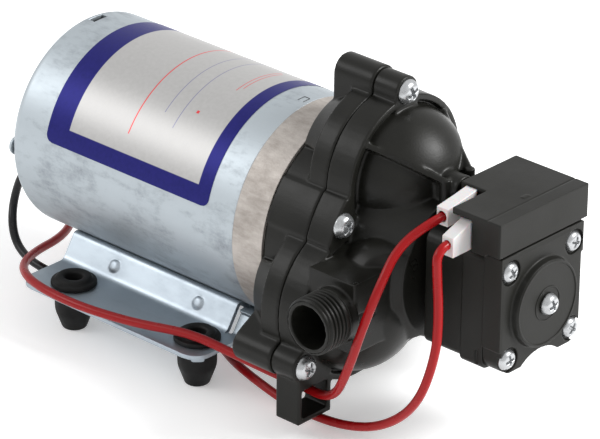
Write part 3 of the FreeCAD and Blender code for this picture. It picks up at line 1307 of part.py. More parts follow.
def switch_inside():
    """Diaphragm, plunger with its arm, spring and adjusting screw."""
    node("switch_diaphragm", cylinder("X", bound("{seal_radius}"), "1.2", SEAL_X + " + 0.05", "0", AXIS))
    plunger_x = SEAL_X + " + 1.5"
    disc = cylinder("X", bound("{seal_radius} - 1.5"), PLUNGER_DISC, plunger_x, "0", AXIS)
    stem = cylinder("X", bound("{plunger_stem}"), bound("{plunger_disc} + {plunger_stem_length}"),
                    plunger_x, "0", AXIS)
    half = bound("{plunger_arm} / 2")
    arm = block((BUTTON_X + " - " + half, BUTTON_X + " + " + half),
                (bound("-{plunger_arm}"), bound("{plunger_arm}")), (AXIS, RAMP_Z + " + " + half))
    slope = doc.addObject("Part::Wedge", "Slope")
    arm_size = bound("{plunger_arm}")
    for prop, value in (("Xmin", "0"), ("Xmax", arm_size + " * 2"), ("X2min", "0"),
                        ("X2max", arm_size + " * 2"),
                        ("Ymin", "0"), ("Ymax", arm_size), ("Zmin", "0"), ("Zmax", arm_size),
                        ("Z2min", arm_size), ("Z2max", arm_size)):
        bind(slope, prop, value)
    slope.Placement = FreeCAD.Placement(FreeCAD.Vector(), FreeCAD.Rotation(FreeCAD.Vector(0, 0, 1), -90))
    place(slope, BUTTON_X + " - " + half, arm_size, RAMP_Z + " - " + half)
    node("pressure_plunger", fuse(disc, stem, cut(arm, slope)))
    spring_x = plunger_x + " + " + PLUNGER_DISC
    pad_x = SWITCH_FRONT + " - 3 - " + bound("{plunger_travel}")
    wire = number(bound("{spring_wire}"))
    length = number(pad_x) - number(spring_x)
    coil = helix(number(bound("{spring_radius}")), wire, length, int(number(bound("{spring_turns}"))))
    start = FreeCAD.Vector(number(spring_x) + wire + END_GAP, 0, number(AXIS))
    coil.Placement = FreeCAD.Placement(start, TURNS["X"])
    node("pressure_spring", coil)


def switch_front():
    """Front plate with four screw lobes and the round cap over the spring."""
    plate = rounded_box(SWITCH_PLATE, SWITCH_FRONT, bound("{switch_plate_half} - 1"),
                        bound("{switch_plate_half}"),
                        bound("5.5"))
    cap = cone("X", bound("{cap_radius}"), bound("{cap_radius} - 0.5"), bound("{cap_depth}"), SWITCH_FRONT,
               "0", AXIS)
    scoops = [
        cylinder("X", "16", "40", SWITCH_PLATE + " - 1", "0",
                 AXIS + " - " + bound("{switch_plate_half} + 12.5")),
    ]
    holes = [
        cylinder("X", bound("{seal_radius} - 1.8"), bound("{switch_plate_depth} - 3 + 1"),
                 SWITCH_PLATE + " - 1", "0", AXIS),
        cylinder("X", bound("{adjuster_shank} + {running_gap}"), "40", SWITCH_PLATE, "0", AXIS),
    ]
    for y, z in switch_screw_centres():
        holes.append(cylinder("X", bound("{switch_screw_shank} + 0.2"), "40", SWITCH_PLATE + " - 1", y, z))
        holes.append(cylinder("X", bound("{switch_screw_head} + 0.5"), "20", SWITCH_FRONT + " - 1.4", y, z))
    return node("switch_front", cut(fuse(cut(plate, *scoops), cap), *holes))


def adjusting_screw():
    """Pressure adjusting screw through the cap."""
    head = cone("X", bound("{adjuster_radius}"), bound("{adjuster_radius} * 0.72"),
                bound("{adjuster_head}"),
                CAP_FRONT + " + 0.3", "0", AXIS)
    shank = cylinder("X", bound("{adjuster_shank}"), "12", CAP_FRONT + " - 9.2", "0", AXIS)
    return node("adjusting_screw", fuse(head, shank))


def switch_screws():
    screws = []
    for y, z in switch_screw_centres():
        screws.append(pan_screw(SWITCH_FRONT + " - 1.4", y, z, bound("{switch_screw_head}"),
                                bound("{switch_screw_height}"), bound("{switch_screw_shank}"),
                                bound("{switch_screw_length}")))
    return node("switch_screws", group(*screws))


COVER_REAR = SWITCH_FRONT + " - " + bound("{cover_length}")
COVER_TOP = AXIS + " + " + bound("{cover_top}")
COVER_LOW = AXIS + " + " + bound("{cover_top} - {cover_skirt}")


def terminal_cover():
    """Box cover over the micro switch, notched at the rear near corner for a terminal."""
    half = bound("{cover_half}")
    negative = bound("-{cover_half}")
    wall = bound("{cover_wall}")
    outer = block((COVER_REAR, SWITCH_FRONT), (negative, half), (COVER_LOW, COVER_TOP))
    inner = block((COVER_REAR + " + " + wall, SWITCH_FRONT + " - " + wall),
                  (negative + " + " + wall, half + " - " + wall), (COVER_LOW + " - 1",
                                                                   COVER_TOP + " - " + wall))
    notch = block((COVER_REAR + " - 1", COVER_REAR + " + " + bound("{notch_length}")),
                  (negative + " - 1", bound("{notch_inner}")), (COVER_LOW + " - 1", COVER_TOP + " + 1"))
    window = block((COVER_REAR + " + " + bound("{notch_length}"), SWITCH_FRONT + " - 6"),
                   (negative + " - 1", negative + " + 3"), (COVER_LOW + " - 1", COVER_TOP + " - 4.5"))
    plate_room = block((SWITCH_REAR + " - 2", SWITCH_FRONT + " + 1"),
                       (bound("-{switch_plate_half} - 2"), bound("{switch_plate_half} + 2")),
                       (COVER_LOW + " - 2", AXIS + " + " + bound("{switch_plate_half} + 2.2")))
    return node("terminal_cover", cut(outer, inner, notch, window, plate_room))


MICRO_REAR = COVER_REAR + " + 3"
MICRO_LOW = AXIS + " + " + bound("{micro_low}")
MICRO_HIGH = COVER_TOP + " - 2"


def micro_switch():
    """Snap action switch with its button underneath and two flat terminals."""
    case = block((MICRO_REAR, MICRO_REAR + " + " + bound("{micro_length}")),
                 (bound("{notch_inner} + 1"), bound("{micro_far}")), (MICRO_LOW, MICRO_HIGH))
    pocket = cylinder("Z", bound("{button_radius} + {running_gap}"), "4.6", BUTTON_X, "0",
                      MICRO_LOW + " - 1")
    node("micro_switch", cut(case, pocket))
    tip = cone("Z", "0.3", bound("{button_radius}"), "1.2", BUTTON_X, "0", RAMP_Z + " + 0.3")
    node("switch_button", fuse(tip, cylinder("Z", bound("{button_radius}"), "3.2", BUTTON_X, "0",
                                             RAMP_Z + " + 1.5")))


UPPER_X = MICRO_REAR + " + 2"
LOWER_X = UPPER_X + " + " + bound("{terminal_step}")
UPPER_Y = bound("{notch_inner}")
LOWER_Y = bound("-{cover_half} + 4.6")
UPPER_Z = AXIS + " + " + bound("{upper_terminal_height}")
LOWER_Z = AXIS + " + " + bound("{lower_terminal_height}")


def terminals():
    half_thick = bound("{blade_thickness} / 2")
    for label, x, y_end, z in (("upper_terminal", UPPER_X, UPPER_Y + " - 8", UPPER_Z),
                               ("lower_terminal", LOWER_X, LOWER_Y + " - 8", LOWER_Z)):
        half_wide = bound("{blade_width} / 2")
        blade = block((x + " - " + half_thick, x + " + " + half_thick), (y_end, UPPER_Y + " + 1"),
                      (z + " - " + half_wide, z + " + " + half_wide))
        node(label, blade)


LEAD_DROP = (0.2, -3.2, -16)


def terminal_sleeve(label, x, y_inner, z, from_below):
    """White nylon sleeve: tall over the blade, narrow at the outer end, where the lead goes in."""
    thick = number(bound("{sleeve_thickness}")) / 2
    length = number(bound("{sleeve_length}"))
    tall = number(bound("{sleeve_tall}")) / 2
    short = number(bound("{sleeve_short}")) / 2
    start = FreeCAD.Vector(number(x), number(y_inner), number(z))

    def corner(y, height):
        return start + FreeCAD.Vector(-thick, -y, height)

    profile = Part.makePolygon([
        corner(0, tall), corner(length * 0.45, tall), corner(length, short), corner(length, -short),
        corner(length * 0.45, -tall), corner(0, -tall), corner(0, tall)])
    solid = Part.Face(profile).extrude(FreeCAD.Vector(2 * thick, 0, 0))
    half = number(bound("{blade_width}")) / 2 + 0.1
    deep = 8.2
    wide = number(bound("{blade_thickness}")) + 0.2
    slot = Part.makeBox(wide, deep + 0.1, 2 * half, start + FreeCAD.Vector(-wide / 2, -deep, -half))
    radius = number(bound("{lead_radius}")) + 0.1
    if from_below:
        hole = Part.makeCylinder(radius, 2.6 + short, start + FreeCAD.Vector(0, 2.4 - length, -0.5),
                                 FreeCAD.Vector(*LEAD_DROP))
    else:
        hole = Part.makeCylinder(radius, 5, start + FreeCAD.Vector(0, -length - 1, 0), FreeCAD.Vector(0, 1,
                                                                                                      0))
    return node(label, feature(solid.cut(slot).cut(hole)))


# Leads
def cord(label, points, bare_end=False):
    """A lead along straight runs joined by arcs, each as large as its two runs allow."""
    radius = number(bound("{lead_radius}"))
    corners = [FreeCAD.Vector(*point) for point in points]
    radii = []
    for before, here, after in zip(corners, corners[1:], corners[2:]):
        back = before - here
        ahead = after - here
        half_turn = (math.pi - back.getAngle(ahead)) / 2
        radii.append(0.45 * min(back.Length, ahead.Length) / math.tan(half_turn))
    path = Part.Wire(Part.__sortEdges__(rounded_wire(corners, radii)))
    section = Part.Wire(Part.Circle(corners[0], corners[1] - corners[0], radius).toShape())
    tube = path.makePipeShell([section], True, True)
    expected = math.pi * radius ** 2 * path.Length
    print("%s: length %.0f, least radius %.1f, volume over expected %.4f" % (
        label, path.Length, min(radii), tube.Volume / expected))
    print("  radii " + " ".join("%.1f" % r for r in radii))
    if bare_end:
        way = (corners[-1] - corners[-2]).normalize()
        tube = tube.fuse(Part.makeCylinder(radius * 0.5, 8, corners[-1] - way, way))
    return node(label, feature(tube))


def leads():
    """Motor lead through the clip to the upper terminal, and the two leads to the supply."""
    rear = number(CAN_REAR)
    card = number(BRUSH_X) - 3.5
    plate = number(bound("{plate_rear}"))
    parting = number(PARTING)
    port_x = number(PORT_X)
    low = number(AXIS) - number(GROMMET_DROP)
    side = number(GROMMET_SIDE)
    half_pitch = number(bound("{lead_pitch}")) / 2
    upper = FreeCAD.Vector(number(UPPER_X), number(UPPER_Y), number(UPPER_Z))
    lower = FreeCAD.Vector(number(LOWER_X), number(LOWER_Y), number(LOWER_Z))
    length = number(bound("{sleeve_length}"))
    cord("red_motor_lead", [
        (card, side - half_pitch, low),
        (rear - 12.7, side - half_pitch, low),
        (rear - 19.7, 0.5, 17.5),
        (rear - 0.7, -13, 14.6),
        (rear + 10.8, -45, 18.6),
        (plate + 4.5, -59, 20),
        (plate + 30.5, -62, 20.2),
        (plate + 58.5, -57.5, 20.4),
        (plate + 82.5, -52, 22.8),
        (parting - 24.7, -49.8, 20.6),
        (parting - 6.7, -49, 19.6),
        (parting + 2.3, -45, 16.6),
        (parting + 17.3, -43.5, 15),
        (port_x + 7.1, -50.7, 34),
        (port_x + 14.4, -51.5, 54),
        (upper.x - 5.7, -46, 70),
        (upper.x - 6.9, -35.5, 80.5),
        (upper.x, upper.y - length - 5.7, upper.z),
        (upper.x, upper.y - length + 4, upper.z),
    ])
    cord("red_supply_lead", [
        (lower.x, lower.y - length + 2.4, lower.z - 0.5),
        (lower.x + LEAD_DROP[0], lower.y - length + 2.4 + LEAD_DROP[1], lower.z - 0.5 + LEAD_DROP[2]),
        (lower.x + 2.6, -40.5, 50),
        (lower.x - 0.2, -39.5, 30),
        (lower.x - 17.2, -36.5, 10.5),
        (parting + 20.3, -39.5, 3.2),
        (parting - 2.7, -41, 3.4),
        (parting - 27.7, -38, 6),
        (parting - 47.7, -30, 5),
        (parting - 69.7, -15, 2.6),
        (parting - 90.7, -13, 2.2),
    ], bare_end=True)
    cord("black_supply_lead", [
        (card, side + half_pitch, low),
        (rear - 16.7, side + half_pitch, low),
        (rear - 28.7, -6, 32),
        (rear - 12.7, -29.5, 26),
        (rear - 8.7, -31.5, 11.5),
        (rear + 11.3, -36, 9.5),
        (plate + 16.5, -24, 4.5),
        (plate + 36.5, 2, 2.2),
        (plate + 64.5, 14, 2.2),
        (plate + 88.5, 16, 2.2),
    ], bare_end=True)


motor_can()
end_bell()
field_magnets()
bearing("rear_bearing", CAN_REAR + " + " + bound("{can_wall}"))
bearing("front_bearing", BELL_FRONT + " - 2 - " + bound("{bearing_width}"))
motor_shaft()
armature_core()
armature_windings()
commutator()
brush_gear()
through_bolts()
lead_grommet()
base_plate()
foot("foot_rear_near", -1, -1)
foot("foot_rear_far", -1, 1)
foot("foot_front_near", 1, -1)
foot("foot_front_far", 1, 1)
lower_housing()
drive()
diaphragm()
valve_plate()
valves()
upper_housing()
housing_screws()
check_valve()
switch_body()
switch_inside()
switch_front()
adjusting_screw()
switch_screws()
terminal_cover()
micro_switch()
terminals()
terminal_sleeve("upper_sleeve", UPPER_X, UPPER_Y, UPPER_Z, False)
terminal_sleeve("lower_sleeve", LOWER_X, LOWER_Y, LOWER_Z, True)
leads()

doc.recompute()
for item in doc.Objects:
    if "Invalid" in item.State or "Error" in item.State:
        raise ValueError(item.Name + " " + item.Label + " failed: " + ", ".join(item.State))
for item in NODES:
    if item.Shape.isNull() or not item.Shape.isValid():
        raise ValueError(item.Label + " has no valid shape")

os.makedirs("parts", exist_ok=True)
for item in NODES:
    item.Shape.exportStep(os.path.join("parts", item.Label + ".step"))
    print("%-20s %d solid(s), %.1f mm3" % (item.Label, len(item.Shape.Solids), item.Shape.Volume))
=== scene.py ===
import math

import bmesh
import bpy
import numpy as np
from mathutils import Matrix, Vector


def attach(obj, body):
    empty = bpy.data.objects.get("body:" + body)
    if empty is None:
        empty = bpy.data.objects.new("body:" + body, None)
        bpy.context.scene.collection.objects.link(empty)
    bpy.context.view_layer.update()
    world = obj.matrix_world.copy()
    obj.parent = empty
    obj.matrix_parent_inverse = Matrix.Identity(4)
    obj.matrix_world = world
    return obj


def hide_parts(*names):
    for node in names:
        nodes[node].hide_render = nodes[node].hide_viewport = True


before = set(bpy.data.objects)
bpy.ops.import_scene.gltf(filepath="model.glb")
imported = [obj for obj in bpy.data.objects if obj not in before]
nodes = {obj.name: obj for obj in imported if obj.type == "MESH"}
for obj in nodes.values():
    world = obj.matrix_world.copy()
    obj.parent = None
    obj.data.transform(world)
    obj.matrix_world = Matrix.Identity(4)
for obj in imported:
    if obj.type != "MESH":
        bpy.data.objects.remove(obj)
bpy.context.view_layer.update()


# Camera: the photograph is taken from the near right, a little above, with a long lens.
# The right, up and back directions of the camera come from its azimuth, elevation and roll.
def put(name, data):
    """An object of this name and data, linked to the scene."""
    item = bpy.data.objects.new(name, data)
    bpy.context.scene.collection.objects.link(item)
    return item


AZIMUTH, ELEVATION, ROLL = (math.radians(a) for a in (42.14, 25.98, 0.77))
AIM = Vector((0.0492, 0, 0.0585))
DISTANCE = 1.52524
back = Vector((math.sin(AZIMUTH) * math.cos(ELEVATION),
               -math.cos(AZIMUTH) * math.cos(ELEVATION), math.sin(ELEVATION)))
level = Vector((math.cos(AZIMUTH), math.sin(AZIMUTH), 0))
right = level * math.cos(ROLL) + back.cross(level) * math.sin(ROLL)
turn = Matrix((right, back.cross(right), back)).transposed().to_4x4()
lens = bpy.data.cameras.new("camera")
lens.sensor_width = 36
lens.lens = 254.5
lens.shift_x = -0.0357
lens.shift_y = -0.0154
lens.clip_end = 20
camera = put("camera", lens)
camera.matrix_world = Matrix.Translation(AIM + back * DISTANCE) @ turn
bpy.context.scene.camera = camera


# Leads: stranded copper in PVC, 3.3 mm over the insulation. The red motor lead leaves the can's
# rear face, lies along the cradle and runs through the clip to the upper terminal. The red supply
# lead starts at the lower terminal, the black one in the can, and both end stripped.
MM = 0.001  # sizes and points are written in millimetres, and meshes are in metres


def shader_node(tree, kind, values=None, **settings):
    """Adds a node, sets its properties, and sets or links its inputs by name or number."""
    item = tree.nodes.new(kind)
    for key, value in settings.items():
        setattr(item, key, value)
    for key, value in (values or {}).items():
        if isinstance(value, bpy.types.NodeSocket):
            tree.links.new(value, item.inputs[key])
        else:
            item.inputs[key].default_value = value
    return item


def finish_of(name, colour, roughness, **sockets):
    """A material with one Principled shader whose constants are set on its own sockets."""
    material = bpy.data.materials.new(name)
    material.use_nodes = True
    shader = material.node_tree.nodes["Principled BSDF"]
    shader.inputs["Base Color"].default_value = (*colour, 1)
    shader.inputs["Roughness"].default_value = roughness
    for key, value in sockets.items():
        shader.inputs[key.replace("_", " ")].default_value = value
    return material, material.node_tree, shader


def effect(name, inputs, output_names):
    """An empty shader node group with number inputs and colour, value or normal outputs."""
    tree = bpy.data.node_groups.new(name, "ShaderNodeTree")
    for label, value in inputs.items():
        kind = "NodeSocketColor" if isinstance(value, tuple) else "NodeSocketFloat"
        socket = tree.interface.new_socket(label, in_out="INPUT", socket_type=kind)
        socket.default_value = value
    for label, kind in output_names.items():
        tree.interface.new_socket(label, in_out="OUTPUT", socket_type="NodeSocket" + kind)
    return tree, tree.nodes.new("NodeGroupInput"), tree.nodes.new("NodeGroupOutput")


def add_effect(tree, group, **values):
    """One use of an effect in a material, with its own input values."""
    item = tree.nodes.new("ShaderNodeGroup")
    item.node_tree = group
    for key, value in values.items():
        item.inputs[key].default_value = value
    return item


def link_in(tree, item, sockets):
    """Links sockets to the item's inputs of the given names."""
    for name, socket in sockets.items():
        tree.links.new(socket, item.inputs[name])


def object_point(tree):
    return shader_node(tree, "ShaderNodeTexCoord").outputs["Object"]


def noise(tree, point, scale, detail, **more):
    """Random values that change softly over the piece."""
    return shader_node(tree, "ShaderNodeTexNoise", {
        "Vector": point, "Scale": scale, "Detail": detail, **more}).outputs["Fac"]


def remap(tree, value, low, high, to_low=0.0, to_high=1.0):
    """Stretches low..high to to_low..to_high and holds values beyond at the ends."""
    return shader_node(tree, "ShaderNodeMapRange", {
        "Value": value, "From Min": low, "From Max": high,
        "To Min": to_low, "To Max": to_high}).outputs["Result"]


def bump(tree, height, strength, distance):
    return shader_node(tree, "ShaderNodeBump", {
        "Height": height, "Strength": strength, "Distance": distance}).outputs["Normal"]


smudge, smudge_in, smudge_out = effect(
    "Handling smudges", {"Scale": 60.0, "Low": 0.3, "High": 0.45},
    {"Roughness": "Float", "Normal": "Vector"})
blotch = noise(smudge, object_point(smudge), smudge_in.outputs["Scale"], 5.0)
link_in(smudge, smudge_out, {
    "Roughness": remap(smudge, blotch, 0.3, 0.7, smudge_in.outputs["Low"],
                       smudge_in.outputs["High"]),
    "Normal": bump(smudge, blotch, 0.15, 0.0001)})


def smudged(tree, shader, scale, low, high):
    """Lets the smudges vary a shader's roughness between two values."""
    group = add_effect(tree, smudge, Scale=scale, Low=low, High=high)
    link_in(tree, shader, {name: group.outputs[name] for name in ("Roughness", "Normal")})


def insulation(name, colour):
    material, tree, shader = finish_of(name, colour, 0.3, Specular_IOR_Level=0.2)
    smudged(tree, shader, 90.0, 0.2, 0.38)
    return material


LEAD_RADIUS = 1.65


def lead(name, points, body, material):
    """A smooth tube along the route's points, given in millimetres."""
    curve = bpy.data.curves.new(name, "CURVE")
    curve.dimensions = "3D"
    curve.bevel_depth = LEAD_RADIUS * MM
    curve.bevel_resolution = 8
    curve.resolution_u = 24
    curve.use_fill_caps = True
    spline = curve.splines.new("NURBS")
    spline.points.add(len(points) - 1)
    for point, (x, y, z) in zip(spline.points, points):
        point.co = (x * MM, y * MM, z * MM, 1)
    spline.order_u = 3
    spline.use_endpoint_u = True
    curve.materials.append(material)
    piece = put(name + "_insulation", curve)
    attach(piece, body)
    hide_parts(name)
    return piece


red_pvc = insulation("red insulation", (0.28, 0.004, 0.0055))
black_pvc = insulation("black insulation", (0.012, 0.012, 0.013))
motor_route = [
    (-58.1, 11.5, 32.5), (-82, 11.5, 32.5), (-84, 4, 16), (-70, -9.5, 12.5), (-59.6, -45, 17.8),
    (-44, -59, 20), (-18, -62, 20.2), (10, -57.5, 20.4), (34, -52, 22.8), (53, -49.8, 20.6),
    (71, -49, 19.6), (80, -45, 16.6), (95, -43.5, 15), (108.2, -50.7, 34), (115.5, -51.5, 54),
    (118.5, -46, 70), (117.3, -35.5, 80.5), (124.2, -25.5, 89), (124.2, -15.8, 89)]
supply_route = [
    (136.1, -29.6, 86.4), (136, -37.6, 86.2), (136.4, -37.2, 75), (137.6, -37.4, 62),
    (138.4, -39.2, 47), (132, -40.5, 26), (116, -39, 10.8), (98, -40, 4.2), (75, -41, 3.4),
    (50, -38, 6), (30, -30, 5), (8, -15, 2.6), (-13, -13, 2.2)]
return_route = [
    (-58.1, 16.5, 32.5), (-86, 16.5, 32.5), (-98, -6, 32), (-82, -29.5, 26), (-78, -31.5, 11.5),
    (-58, -36, 9.5), (-32, -24, 4.5), (-12, 2, 2.2), (16, 14, 2.2), (40, 16, 2.2)]
for lead_name, route, length, far_end, material in (
        ("red_motor_lead", motor_route, 0.350, "object", red_pvc),
        ("red_supply_lead", supply_route, 0.224, "bare", red_pvc),
        ("black_supply_lead", return_route, 0.222, "bare", black_pvc)):
    tube = lead(lead_name, route, "pump", material)


# Motor can: drawn steel, zinc plated, 82.8 mm across. The plating is mottled, with darker smudges
# from handling, and a small stake near the open end locks the end bell; its outline is a painted
# shadow line.
AXIS = 58.5  # height of the motor's axis above the floor
CAN_RADIUS = 41.4


def dress(material, *names):
    """Gives CAD nodes a material and smooth shading across their shallow edges."""
    for name in names:
        item = nodes[name]
        item.data.materials.clear()
        item.data.materials.append(material)
        item.data.shade_smooth()
        split = item.modifiers.new("edges", "EDGE_SPLIT")
        split.split_angle = math.radians(24)


def soft_edges(tree, normal, radius):
    """Rounds the shading of sharp edges by a small radius, as on real moulded or rolled parts."""
    return shader_node(tree, "ShaderNodeBevel", {"Radius": radius, "Normal": normal},
                       samples=6).outputs[0]


def weigh(tree, share, first, second):
    """A number between two: the first at share 0, the second at share 1."""
    return shader_node(tree, "ShaderNodeMix", {0: share, 2: first, 3: second}).outputs[0]


def blend(tree, share, first, second):
    """A colour between two: the first at share 0, the second at share 1."""
    return shader_node(tree, "ShaderNodeMix", {0: share, 6: first, 7: second},
                       data_type="RGBA").outputs[2]


def times(tree, first, second):
    return shader_node(tree, "ShaderNodeMath", {0: first, 1: second},
                       operation="MULTIPLY").outputs[0]


def stretched(tree, point, along):
    """The point with its X scaled, which draws a pattern out along the motor's axis."""
    return shader_node(tree, "ShaderNodeMapping", {
        "Vector": point, "Scale": (along, 1.0, 1.0)}).outputs[0]


plating, plating_in, plating_out = effect(
    "Zinc plating", {"Scale": 60.0, "Smudges": 0.4, "Light": (0.6, 0.64, 0.67, 1),
                     "Dark": (0.3, 0.32, 0.33, 1), "Low": 0.42, "High": 0.6},
    {"Color": "Color", "Roughness": "Float", "Normal": "Vector"})
where = object_point(plating)
fine = noise(plating, where, 900.0, 3.0)
cloud = noise(plating, where, plating_in.outputs["Scale"], 8.0, Roughness=0.68)
mottle = noise(plating, stretched(plating, where, 0.35), 260.0, 6.0, Roughness=0.7)
mixed = weigh(plating, 0.4, cloud, mottle)
patch = remap(plating, mixed, 0.49, 0.68, 0.0, plating_in.outputs["Smudges"])
speck = remap(plating, fine, 0.3, 0.7, 0.55, 1.0)
link_in(plating, plating_out, {
    "Color": blend(plating, times(plating, patch, speck), plating_in.outputs["Light"],
                   plating_in.outputs["Dark"]),
    "Roughness": remap(plating, mixed, 0.35, 0.7, plating_in.outputs["Low"],
                       plating_in.outputs["High"]),
    "Normal": bump(plating, fine, 0.12, 0.0001)})


def zinc(name, scale, smudges, light, dark, edge, low=0.42, high=0.6):
    """Zinc plated steel. The group gives colour, roughness and grain, the bevel softens edges."""
    material, tree, shader = finish_of(name, light, 0.36, Metallic=0.85)
    group = add_effect(tree, plating, Scale=scale, Smudges=smudges, Light=(*light, 1),
                       Dark=(*dark, 1), Low=low, High=high)
    link_in(tree, shader, {"Base Color": group.outputs["Color"],
                           "Roughness": group.outputs["Roughness"],
                           "Normal": soft_edges(tree, group.outputs["Normal"], edge)})
    return material


can_zinc = zinc("can zinc", 38.0, 0.75, (0.405, 0.447, 0.478), (0.12, 0.13, 0.15), 0.0006)
dress(can_zinc, "motor_can")


def add_mesh(name, verts, faces, body, material, smooth=True):
    """Makes a mesh piece from millimetre points and faces, closes its seams and lets it ride."""
    mesh = bpy.data.meshes.new(name)
    mesh.from_pydata((np.asarray(verts, float) * MM).tolist(), [], [list(f) for f in faces])
    work = bmesh.new()
    work.from_mesh(mesh)
    bmesh.ops.remove_doubles(work, verts=work.verts, dist=1e-6)
    bmesh.ops.dissolve_degenerate(work, dist=1e-7, edges=work.edges)
    work.to_mesh(mesh)
    work.free()
    mesh.materials.append(material)
    if smooth:
        mesh.shade_smooth()
    piece = put(name, mesh)
    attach(piece, body)
    return piece


def grid_faces(across, along, closed=True):
    """Quads of a grid of points, numbered row by row; closed joins the last row to the first."""
    i, j = np.meshgrid(np.arange(across if closed else across - 1), np.arange(along - 1),
                       indexing="ij")
    k = (i + 1) % across
    quads = [i * along + j, k * along + j, k * along + j + 1, i * along + j + 1]
    return np.stack(quads, -1).reshape(-1, 4)


def eased(corners, radius, steps=5):
    """A polyline whose corners are curves: a parabola that touches both runs at the radius."""
    corners = np.asarray(corners, float)
    radius = np.broadcast_to(radius, len(corners) - 2)
    out = [corners[:1]]
    t = np.linspace(0, 1, steps)[:, None]
    for before, here, after, r in zip(corners, corners[1:], corners[2:], radius):
        behind, ahead = before - here, after - here
        a = here + behind * min(r / np.linalg.norm(behind), 0.48)
        b = here + ahead * min(r / np.linalg.norm(ahead), 0.48)
        curve = (1 - t) ** 2 * a + 2 * t * (1 - t) * here + t ** 2 * b
        out.append(curve if r > 0 else here[None])
    return np.concatenate(out + [corners[-1:]])


# The stake is drawn only as its outline: a thin dark tube on the can's surface, painted shadow
# along the dent's edge.
STAKE_LINE_RADIUS = 0.16
STAKE_SIDES = 6
stake_line = eased([(39.4, -2.4), (39.4, 1.2), (42.0, 1.2), (42.0, -2.4)], 0.5, 4)
ring = np.linspace(0, 2 * np.pi, STAKE_SIDES + 1)[:-1]
stake_path = np.stack([stake_line[:, 0], stake_line[:, 1],
                       np.sqrt(CAN_RADIUS ** 2 - stake_line[:, 1] ** 2) + AXIS], 1)
stake_side = np.gradient(stake_path, axis=0)
stake_side = np.cross(stake_side / np.linalg.norm(stake_side, axis=1)[:, None], (0, 0, 1))
stake_points = (
    stake_path[:, None] + STAKE_LINE_RADIUS * np.cos(ring)[None, :, None] * stake_side[:, None]
    + STAKE_LINE_RADIUS * np.sin(ring)[None, :, None] * np.array([0, 0, 1.0]))
stake_faces = grid_faces(len(stake_line), STAKE_SIDES, closed=False).tolist()
for start in range(0, STAKE_SIDES * (len(stake_line) - 1), STAKE_SIDES):
    stop = start + STAKE_SIDES
    stake_faces.append([stop - 1, start, stop, stop + STAKE_SIDES - 1])
# The tube's near-black finish is painted shadow of the stake's edge.
stake_shadow_finish, _, _ = finish_of("stake shadow", (0.035, 0.035, 0.035), 0.6, Metallic=0.4)
add_mesh("can_stake_shadow", stake_points.reshape(-1, 3), stake_faces, "pump", stake_shadow_finish)


# Through bolts: two long steel screws that hold the end bell to the can. Their low round heads
# stand on the rear face, one at each side, and are plated like the can.
def turned(profile, axis, centre, around=96):
    """Turns (along, radius) points about an axis: a circle of each radius at its place."""
    along, radius = np.asarray(profile, float).T
    angle = np.linspace(0, 2 * np.pi, around, endpoint=False)[:, None]
    first, second = radius * np.cos(angle), radius * np.sin(angle)
    along = np.broadcast_to(along, first.shape)
    order = {"X": (along, first, second), "Y": (second, along, first),
             "Z": (first, second, along)}[axis]
    points = np.stack(order, -1).reshape(-1, 3) + np.asarray(centre, float)
    return points, grid_faces(around, len(profile))


BOLT_Y = 37.4
for bolt_name, bolt_y in (("near", -BOLT_Y), ("far", BOLT_Y)):
    bolt_profile = eased([(-71.0, 0), (-70.8, 2.9), (-69.9, 3.7), (-69.0, 3.7), (-69.0, 0)],
                         [0.8, 0.5, 0.2], 5)
    points, faces = turned(bolt_profile[::-1], "X", (0, bolt_y, AXIS), 40)
    head = add_mesh("bolt_head_" + bolt_name, points, faces[:, ::-1].tolist(), "pump", can_zinc)
    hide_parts("through_bolts")

# Label on the can: a printed foil sheet with rounded corners, glued over the top of the can. It
# has a violet blue frame round a silver ground, with thin rules in red and grey-violet.
LABEL_X = (-50.9, 31.2)
LABEL_FROM, LABEL_TO = 167.6, 18  # degrees round the can, from the far side to the near
LABEL_CORNER = 3.2
LABEL_RADIUS = 41.49
FRAME_WIDTH = 7.0
GROUND_X = (-40.4, 25.0)
first_angle, last_angle = math.radians(LABEL_FROM), math.radians(LABEL_TO)
# A grid on a cylinder just outside the can, whose rows are shorter at the rounded corners.
height = (first_angle - last_angle) * LABEL_RADIUS
rows = np.concatenate([np.linspace(0, LABEL_CORNER, 10)[:-1],
                       np.linspace(LABEL_CORNER, height - LABEL_CORNER, 90),
                       np.linspace(height - LABEL_CORNER, height, 10)[1:]])
past_corner = np.clip(LABEL_CORNER - np.minimum(rows, height - rows), 0, None)
inset = LABEL_CORNER - np.sqrt(LABEL_CORNER ** 2 - past_corner ** 2)
share = np.linspace(0, 1, 60)
label_x = (LABEL_X[0] + inset)[:, None] + share * (LABEL_X[1] - LABEL_X[0] - 2 * inset)[:, None]
label_s = np.broadcast_to(rows[:, None], label_x.shape)
label_angle = first_angle - label_s / LABEL_RADIUS
label_points = np.stack([label_x, LABEL_RADIUS * np.cos(label_angle),
                         LABEL_RADIUS * np.sin(label_angle) + AXIS], -1)

foil, foil_tree, foil_shader = finish_of("label foil", (0.6, 0.6, 0.6), 0.32, Metallic=0.55,
                                         Specular_IOR_Level=0.2)
on_label = shader_node(foil_tree, "ShaderNodeUVMap", uv_map="label").outputs[0]
flat_x, flat_s = shader_node(foil_tree, "ShaderNodeSeparateXYZ", {0: on_label}).outputs[:2]


def between(value, low, high, soft=0.12):
    """1 where a value in millimetres lies between two limits, with a soft step at each."""
    up = remap(foil_tree, value, low - soft, low + soft)
    down = remap(foil_tree, value, high - soft, high + soft, 1.0, 0.0)
    return times(foil_tree, up, down)


def box_mask(x_low, x_high, s_low, s_high):
    return times(foil_tree, between(flat_x, x_low, x_high), between(flat_s, s_low, s_high))


